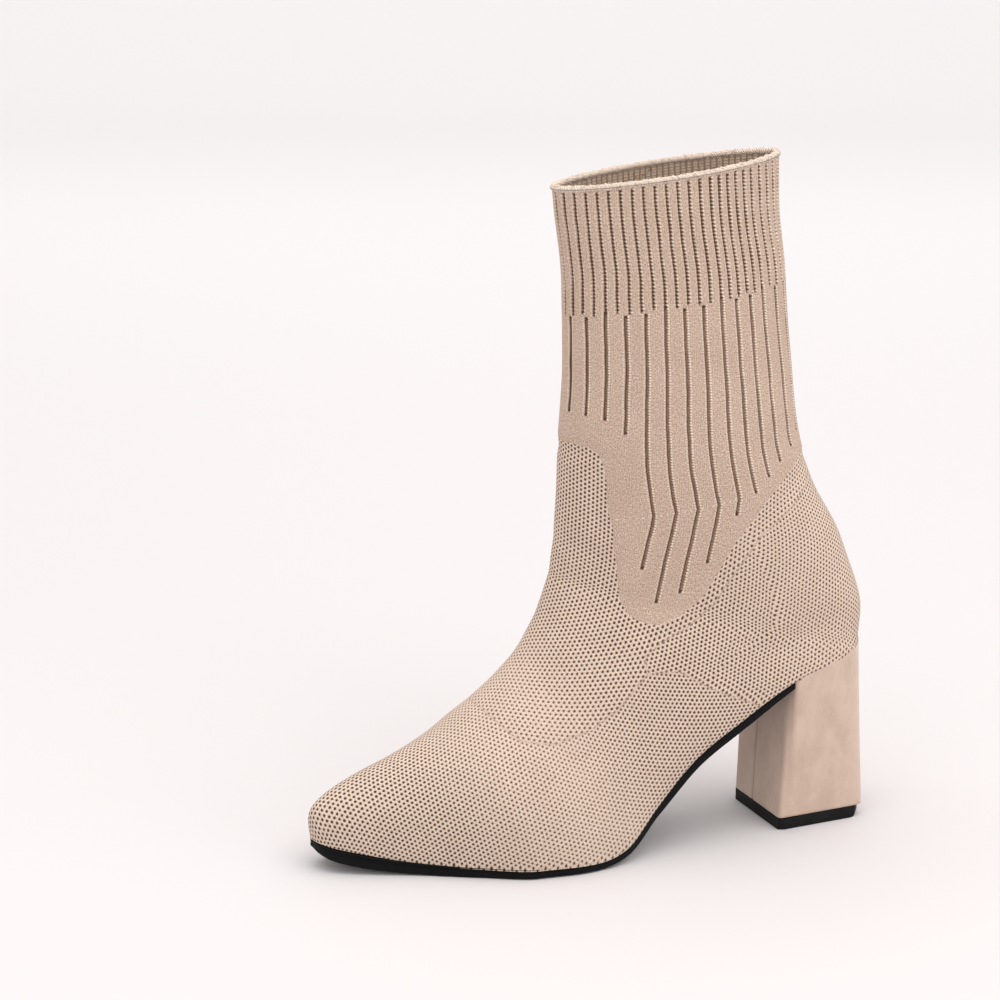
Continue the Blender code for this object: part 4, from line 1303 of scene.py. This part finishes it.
lining, margin = make_lining(), make_margin()

# %% [markdown]
# ## Sole and insole
# The sole is a thin moulded plate, and the insole a board inside. Both are slabs that follow the sole line,
# as in the frame, but with softened edges and many more points, so that the thin black line under the
# foot stays clean in any view. The black edge is a little deeper at the shank and thinner under the toe,
# where the photograph shows the sole rolling up near its tip. A solid cut from a block would need these
# lengths twice, so top and bottom are both read from the one sole line.

# %% Sole line and slabs
def sole_line(at, outset):
    """Outer and inner points of the sole line in plan, moved outwards along its normal by outset."""
    fine = np.linspace(HEEL_ROW, TOE_ROW, 600)
    form = last(fine)
    middle = spine(form["back_y"]) - form["back_in"]
    sides = []
    for sign in (1, -1):
        line = np.stack([middle + sign * form["sole"], form["back_y"]], -1)
        run = np.gradient(line, axis=0)
        out = unit(np.stack([-run[:, 1], run[:, 0]], -1) * sign)
        out[0] = (0, 1)
        out[-1] = (0, -1)
        sides.append(read_line(at, fine, line + out * np.interp(fine, at, outset)[:, None]))
    return sides


def sole_height(y, off=0.0):
    """Height of the sole line at a place along the foot, or of a face that lies off above it.

    A face that lies off along the normal is higher by off * sqrt(1 + slope^2).
    """
    under = last(np.linspace(HEEL_ROW, TOE_ROW, 200))
    slope = np.gradient(under["back_z"], under["back_y"])
    steep = np.interp(y, under["back_y"][::-1], np.sqrt(1 + slope ** 2)[::-1])
    return np.interp(y, under["back_y"][::-1], under["back_z"][::-1]) + off * steep


def slab(name, at, outset, above, below, radius, material, across=16):
    """Sheet between two faces that lie above and below the sole line, as one closed ring at each station.

    At an angle t of an edge's quarter circle, the ring is radius * (1 - sin t) inside the outline and
    radius * (1 - cos t) from the face.
    """
    turn = np.linspace(0, math.pi / 2, 5)
    share = np.linspace(0, 1, across + 1)[None, 1:-1, None]

    def edge(t, face, inwards):
        """Outer line, inner line and level of the ring at an angle of an edge's rounding."""
        outer_line, inner_line = sole_line(at, outset - radius * (1 - math.sin(t)))
        return outer_line[:, None], inner_line[:, None], face + inwards * radius * (1 - math.cos(t))

    def lifted(plan, level):
        """Points of a plan, put at a level above the sole line."""
        return np.concatenate([plan, sole_height(plan[..., 1], level[:, None])[..., None]], -1)

    upper = [edge(t, above, -1) for t in turn[::-1]]
    lower = [edge(t, below, 1) for t in turn]
    top_outer, top_inner, top_level = upper[0]
    low_outer, low_inner, low_level = lower[0]
    ring = [lifted(top_inner + (top_outer - top_inner) * share, top_level)]
    ring += [lifted(outer_line, level) for outer_line, _, level in upper + lower[::-1]]
    ring += [lifted(low_outer + (low_inner - low_outer) * share, low_level)]
    ring += [lifted(inner_line, level) for _, inner_line, level in lower + upper[::-1]]
    points = np.concatenate(ring, 1)
    size = points.shape[:2]
    return build_mesh(name, points.reshape(-1, 3), [grid_faces(*size, closed=True), end_cap(*size)], material)


# %% Sole
def eased(values, width=9):
    """Values smoothed by two running means, the ends held."""
    for _ in range(2):
        padded = np.concatenate([np.full(width, values[0]), values, np.full(width, values[-1])])
        values = np.convolve(padded, np.full(2 * width + 1, 1 / (2 * width + 1)), "valid")
    return values


sole_at = np.linspace(BREAST_ROW, TOE_ROW - 0.002, 200)
sole_place = sole_at - BREAST_ROW
sole_depth = np.interp(sole_place, SOLE_ROWS, SOLE_THICK) + np.interp(sole_place, SOLE_FILL_AT, SOLE_FILL)
sole_depth = np.minimum(eased(sole_depth), last(sole_at)["back_z"] - FIT_GAP)
sole_outset = eased(np.interp(sole_place, SOLE_ROWS, SOLE_OUTSET))
sole_top = np.full(len(sole_at), -FIT_GAP)
sole = slab("sole_black", sole_at, sole_outset, sole_top, -FIT_GAP - sole_depth, 0.0005, RUBBER)
print(f"sole from {sole_depth.min() / MM:.1f} to {sole_depth.max() / MM:.1f} mm thick")

# %% Insole
pad_at = np.linspace(HEEL_ROW + 0.03, TOE_ROW - 0.05, 140)
pad_low = np.full(len(pad_at), WALL + FIT_GAP)
pad_top = np.full(len(pad_at), WALL + FIT_GAP + INSOLE_THICKNESS)
pad = slab("insole_pad", pad_at, np.full(len(pad_at), -WALL - INSOLE_PLAY), pad_top, pad_low, 0.0004, INSOLE)

# %% [markdown]
# ## Tape inside the back seam
# A narrow woven tape covers the seam at the back of the shaft and stops it from rubbing. It's a strip with
# two faces and real edges, laid on the last's own section just inside the wall, so it can't cut into it.

# %% Tape
def make_tape():
    """Tape along the inner face of the back seam, a thin closed strip with a woven face.

    Its plan is a straight strip. The angle at which the section has that half width is the arcsine of
    (x / half width) ^ (side / 2), and the way in from the back follows from it. The strip then moves in
    along its normal.
    """
    back = np.array(SHAFT)[:, 1]
    reach = TAPE_LENGTH / (BOOT_HEIGHT - HEEL_HEIGHT)
    at = np.interp(np.linspace(RIM_ROWS * 0.1, reach, 80), 1 - back, np.arange(len(SHAFT)))
    form = {name: values[:, None] for name, values in last(at).items()}
    x = np.linspace(-TAPE_WIDTH / 2, TAPE_WIDTH / 2, 17)[None, :]
    turn = np.arcsin((np.abs(x) / form["outer"]) ** (form["side"] / 2))
    rise = form["widest"] * (1 - np.cos(turn) ** (2 / form["side"]))
    y = form["back_y"] + (form["front_y"] - form["back_y"]) * rise
    z = form["back_z"] + (form["front_z"] - form["back_z"]) * rise
    face = np.stack([spine(y) - form["back_in"] + x, y, z], -1)
    normal = unit(np.cross(np.gradient(face, axis=0), np.gradient(face, axis=1)))
    normal *= -np.sign(normal[..., 1:2])
    near = face + normal * (WALL + TAPE_PLAY * 0.5)
    far = near + normal * TAPE_THICKNESS
    ring = np.concatenate([near, far[:, ::-1]], 1)
    strand_x = np.concatenate([x, x[:, ::-1]], 1) / MM + 10
    strand = np.stack(np.broadcast_arrays(strand_x, ring[..., 2] / MM, 0.0), -1).reshape(-1, 3)
    size = ring.shape[:2]
    faces = [grid_faces(*size, closed=True), end_cap(*size), end_cap(*size, last_row=True)]
    return build_mesh("seam_tape", sway(ring.reshape(-1, 3)), faces, TAPE, [("strand", strand)])


tape = make_tape()

# %% [markdown]
# ## The heel cover
# The block heel is wrapped in suede, with one seam down its breast. The cover is lofted from the ground
# outline, as in the frame, to a top edge that climbs the skin of the upper at the back, so knit and suede
# lie flush there. A bevelled box would leave a step under the knit. Its corners are soft, and its seam is
# a narrow trough down the breast, a little towards the inner side.

# %% Outlines of the heel
BREAST_CORNER, COVER_BACK, COVER_BACK_ROWS = 0.0018, 0.0021, 0.16
SEAM_OFFSET, COVER_LIP = 0.0040, 0.0012


def evenly(line, count):
    """Points at even distances along a line of points."""
    run = run_along(line)
    return read_line(np.linspace(0, run[-1], count), run, line)


def corner_arc(x, y, radius, start, stop, steps=9):
    """Points of a round corner: centre plus radius times cosine and sine, between two angles in degrees."""
    turn = np.radians(np.linspace(start, stop, steps))
    return np.stack([x + radius * np.cos(turn), y + radius * np.sin(turn)], -1)


def ground_plan(steps):
    """Plan of the heel at the ground, starting at the middle of the breast and going round."""
    half_x, half_y, big, small = HEEL_TIP_WIDTH / 2, HEEL_TIP_LENGTH / 2, HEEL_TIP_CORNER, BREAST_CORNER
    right = np.concatenate([
        [[0, -half_y]],
        corner_arc(half_x - small, -half_y + small, small, -90, 0),
        corner_arc(half_x - big, half_y + COVER_BACK - big, big, 0, 90),
        [[0, half_y + COVER_BACK]],
    ])
    return evenly(np.concatenate([right, right[-2::-1] * (-1, 1)]), steps)


def seat_ring(steps):
    """Top edge of the cover in space, from the middle of the breast and round.

    At the breast it follows the sole line. Behind, it climbs the skin of the upper, COVER_BACK_ROWS
    above the heel's lowest point at the back, and lies flush with it.
    """
    t = np.linspace(0, 1, 90)
    at = BREAST_ROW - t * (BREAST_ROW - HEEL_ROW + COVER_BACK_ROWS)
    place = 0.990 - 0.050 * np.sin(math.pi * t)
    sides = []
    for sign in (1, -1):
        base = skin(at, sign * place)
        near = skin(at, sign * (place - 0.01))
        out = unit(np.cross(near - base, np.gradient(base, axis=0))) * -sign
        out[..., 2] = 0
        sides.append(base + unit(out + 1e-9) * 0.00002)
    right, left = sides
    half = (right[0, 0] - left[0, 0]) / 2
    middle = (right[0, 0] + left[0, 0]) / 2
    soft = corner_arc(half - BREAST_CORNER, HEEL_BREAST + BREAST_CORNER, BREAST_CORNER, -90, 0)
    front_z = float(sole_height(HEEL_BREAST)) - FIT_GAP
    lift = np.interp(soft[:, 1], (HEEL_BREAST, HEEL_BREAST + BREAST_CORNER), (front_z, right[0, 2]))
    soft = np.concatenate([soft, lift[:, None]], 1)
    right, left = [side[side[:, 1] > HEEL_BREAST + 1.05 * BREAST_CORNER] for side in sides]
    front = [[middle, HEEL_BREAST, front_z]]
    ring = np.concatenate([
        front, soft + (middle, 0, 0), right,
        left[::-1], (soft * (-1, 1, 1) + (middle, 0, 0))[::-1], front,
    ])
    return evenly(ring, steps)


top_edge = seat_ring(90)[:, 2] / MM
print(f"the cover's top edge is {top_edge.min():.1f} to {top_edge.max():.1f} mm high")


# %% Heel
def make_heel():
    """Covered heel: ground plan lofted to the seat ring, waisted, with a seam trough down the breast.

    A point is the ground plan's plus share ** 1.15 of the way to the ring's, times a waist of a sine over
    the height. The seam is a bell-shaped trough with a soft ridge beside it. The last row is a lip that
    turns in under the knit, so no gap shows.
    """
    low, top = ground_plan(321)[:-1], seat_ring(321)[:-1]
    share = np.linspace(0, 1, 70)[:, None, None]
    plan = low + (top[:, :2] - low) * share ** 1.15
    plan = plan * (1 - 0.2 * 2 * HEEL_WAIST / HEEL_TIP_WIDTH * np.sin(math.pi * share))
    floor = HEEL_TIP_THICKNESS + FIT_GAP
    height = floor + (top[:, 2] - floor) * share[..., 0]
    points = np.concatenate([plan, height[..., None]], -1)
    from_seam = np.abs(points[..., 0] - (points[:, :1, 0] - SEAM_OFFSET))
    front = points[..., 1] < points[:, :1, 1] + 0.002
    seam = np.where(front, from_seam / MM, 9.0)
    points[..., 1] += np.where(front, 0.0004 * np.exp(-(from_seam / 0.0005) ** 2), 0)
    points[..., 1] -= np.where(front, 0.00012 * np.exp(-((from_seam - 0.0016) / 0.0008) ** 2), 0)
    lip = points[-1] + (points[-1].mean(0) - points[-1]) * (COVER_LIP / HEEL_BACK)
    lip[:, 2] = points[-1, :, 2] + 0.0003
    points = np.concatenate([points, lip[None]])
    seam = np.concatenate([seam, seam[-1:]])
    size = points.shape[:2]
    faces = [face[:, ::-1] for face in (grid_faces(*size, closed=True), end_cap(*size))]
    attribute = np.stack([seam, 0 * seam, 0 * seam], -1).reshape(-1, 3)
    return build_mesh("heel_cover", points.reshape(-1, 3), faces, SUEDE, [("seam", attribute)])


heel = make_heel()

# %% [markdown]
# ## Joining the frame
# Every piece rides on the one body. The new pieces stand for the CAD solids that they follow, and the
# heel tip stays as the CAD made it, with its own rubber.

# %% Ride, replace, slots
for piece, nodes, slot_name in (
    (outer, ("upper",), "knit"), (rim, (), "knit"), (lining, (), "knit"), (margin, (), "knit"),
    (sole, ("outsole",), "sole_black"), (pad, ("insole",), "insole_lining"),
    (tape, ("back_tape",), "ribbon"), (heel, ("heel_block",), "heel_suede"),
):
    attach(piece, "root")
    if nodes:
        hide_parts(*nodes)
    print(piece.name, "in slot", slot_name, "stands for", ", ".join(nodes) or "no solid")
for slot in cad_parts["heel_tip"].material_slots:
    slot.material = TIP_RUBBER

# %% [markdown]
# ## Studio
# The photograph was taken on pale paper that curves up behind, so there is no edge between floor and wall.
# One swept surface does the same. Its colour is painted a little darker near the boot and lighter far behind
# it, painted shade and light that even out the lamps, which light the near floor more than the far wall. This
# is read from the place on the paper, not from the camera.

# %% Floor
FLOOR_FRONT, FLOOR_BACK, FLOOR_BEND, WALL_TOP, FLOOR_HALF = -2.2, 2.6, 1.2, 4.5, 4.5
VIEW_YAW = math.radians(66.4)


def make_studio():
    """Floor swept into a wall: a straight run, a quarter circle and a straight rise, turned to the view."""
    floor_run = np.linspace(FLOOR_FRONT, FLOOR_BACK, 30)
    bend = np.linspace(0, math.pi / 2, 24)[1:]
    line = np.concatenate([
        np.stack([floor_run, 0 * floor_run], -1),
        np.stack([FLOOR_BACK + FLOOR_BEND * np.sin(bend), FLOOR_BEND * (1 - np.cos(bend))], -1),
        [[FLOOR_BACK + FLOOR_BEND, WALL_TOP]],
    ])
    ahead = np.array([-math.sin(VIEW_YAW), math.cos(VIEW_YAW), 0])
    beside = np.array([math.cos(VIEW_YAW), math.sin(VIEW_YAW), 0])
    across = np.linspace(-FLOOR_HALF, FLOOR_HALF, 9)
    points = (
        line[:, None, :1] * ahead + across[None, :, None] * beside
        + line[:, None, 1:] * np.array([0, 0, 1.0]) + np.array([0, -0.1, -0.0002])
    )
    n = Nodes("studio_paper")
    x, y, _ = n.split(n.place())
    far = y * math.cos(VIEW_YAW) - x * math.sin(VIEW_YAW)
    # Painted shade near the boot and painted light far behind it, against the lamps' uneven fall
    tone = n.mix(n.ramp(far, 0.1, 2.0), (0.672, 0.645, 0.647, 1), (0.880, 0.862, 0.862, 1))
    material = n.finish(tone, 0.8, Specular_IOR_Level=0.1)
    faces = grid_faces(*points.shape[:2])[:, ::-1]
    return build_mesh("studio_floor", points.reshape(-1, 3), [faces], material)


make_studio()

# %% [markdown]
# ## Light
# The photograph has even light with soft, pale shadows. A bright room gives most of it. Three large square
# lamps add shape: one from behind and above, one from above the toe, and a weak one from the side that
# lightens the heel. Small lamps would give hard shadows.

# %% Lamps and room
def lamp(name, place, target, size, power, colour=(1, 1, 1)):
    """Square area lamp that looks from a place at a target."""
    light = bpy.data.lights.new(name, "AREA")
    light.size, light.energy, light.color = size, power, colour
    thing = bpy.data.objects.new(name, light)
    place, target = Vector(place), Vector(target)
    thing.location = place
    thing.rotation_euler = (target - place).to_track_quat("-Z", "Y").to_euler()
    bpy.context.scene.collection.objects.link(thing)
    print(f"lamp {name}: {power} W, {size} m wide, {(target - place).length:.2f} m away")


lamp("key", (0.55, 0.35, 1.70), (0, -0.08, 0.12), 1.5, 12.0, (1.0, 0.985, 0.965))
lamp("top", (0.0, -0.6, 1.75), (0, -0.10, 0.08), 1.5, 9.5)
lamp("side", (1.45, 0.45, 0.50), (0, -0.05, 0.03), 0.9, 2.0)
world = bpy.data.worlds.new("room")
bpy.context.scene.world = world
world.use_nodes = True
room = world.node_tree.nodes["Background"].inputs
room["Color"].default_value = (1.0, 0.985, 0.985, 1)
room["Strength"].default_value = 1.02
bpy.context.scene.view_settings.view_transform = "Standard"
bpy.context.scene.view_settings.look = "None"

# %% [markdown]
# ## Camera
# The camera stands where the photograph was taken from. Its place and direction were worked out from
# points that can be found in the picture, such as the corners of the heel and the tip of the toe. The
# rows below are its right, up and back directions and its place, as a matrix takes them.

# %% Camera
camera = bpy.data.cameras.new("camera")
camera.sensor_width, camera.lens = 36.0, 86.4
viewer = bpy.data.objects.new("camera", camera)
bpy.context.scene.collection.objects.link(viewer)
right = Vector((0.40046, 0.91631, 0.0)).normalized()
back = Vector((0.88305, -0.38592, 0.26700)).normalized()
up = back.cross(right).normalized()
viewer.matrix_world = Matrix((
    (right.x, up.x, back.x, 0.85502),
    (right.y, up.y, back.y, -0.51737),
    (right.z, up.z, back.z, 0.41569),
    (0, 0, 0, 1),
))
bpy.context.scene.camera = viewer
print(f"camera {viewer.matrix_world.translation.length:.2f} m from the heel, lens {camera.lens:.1f} mm")
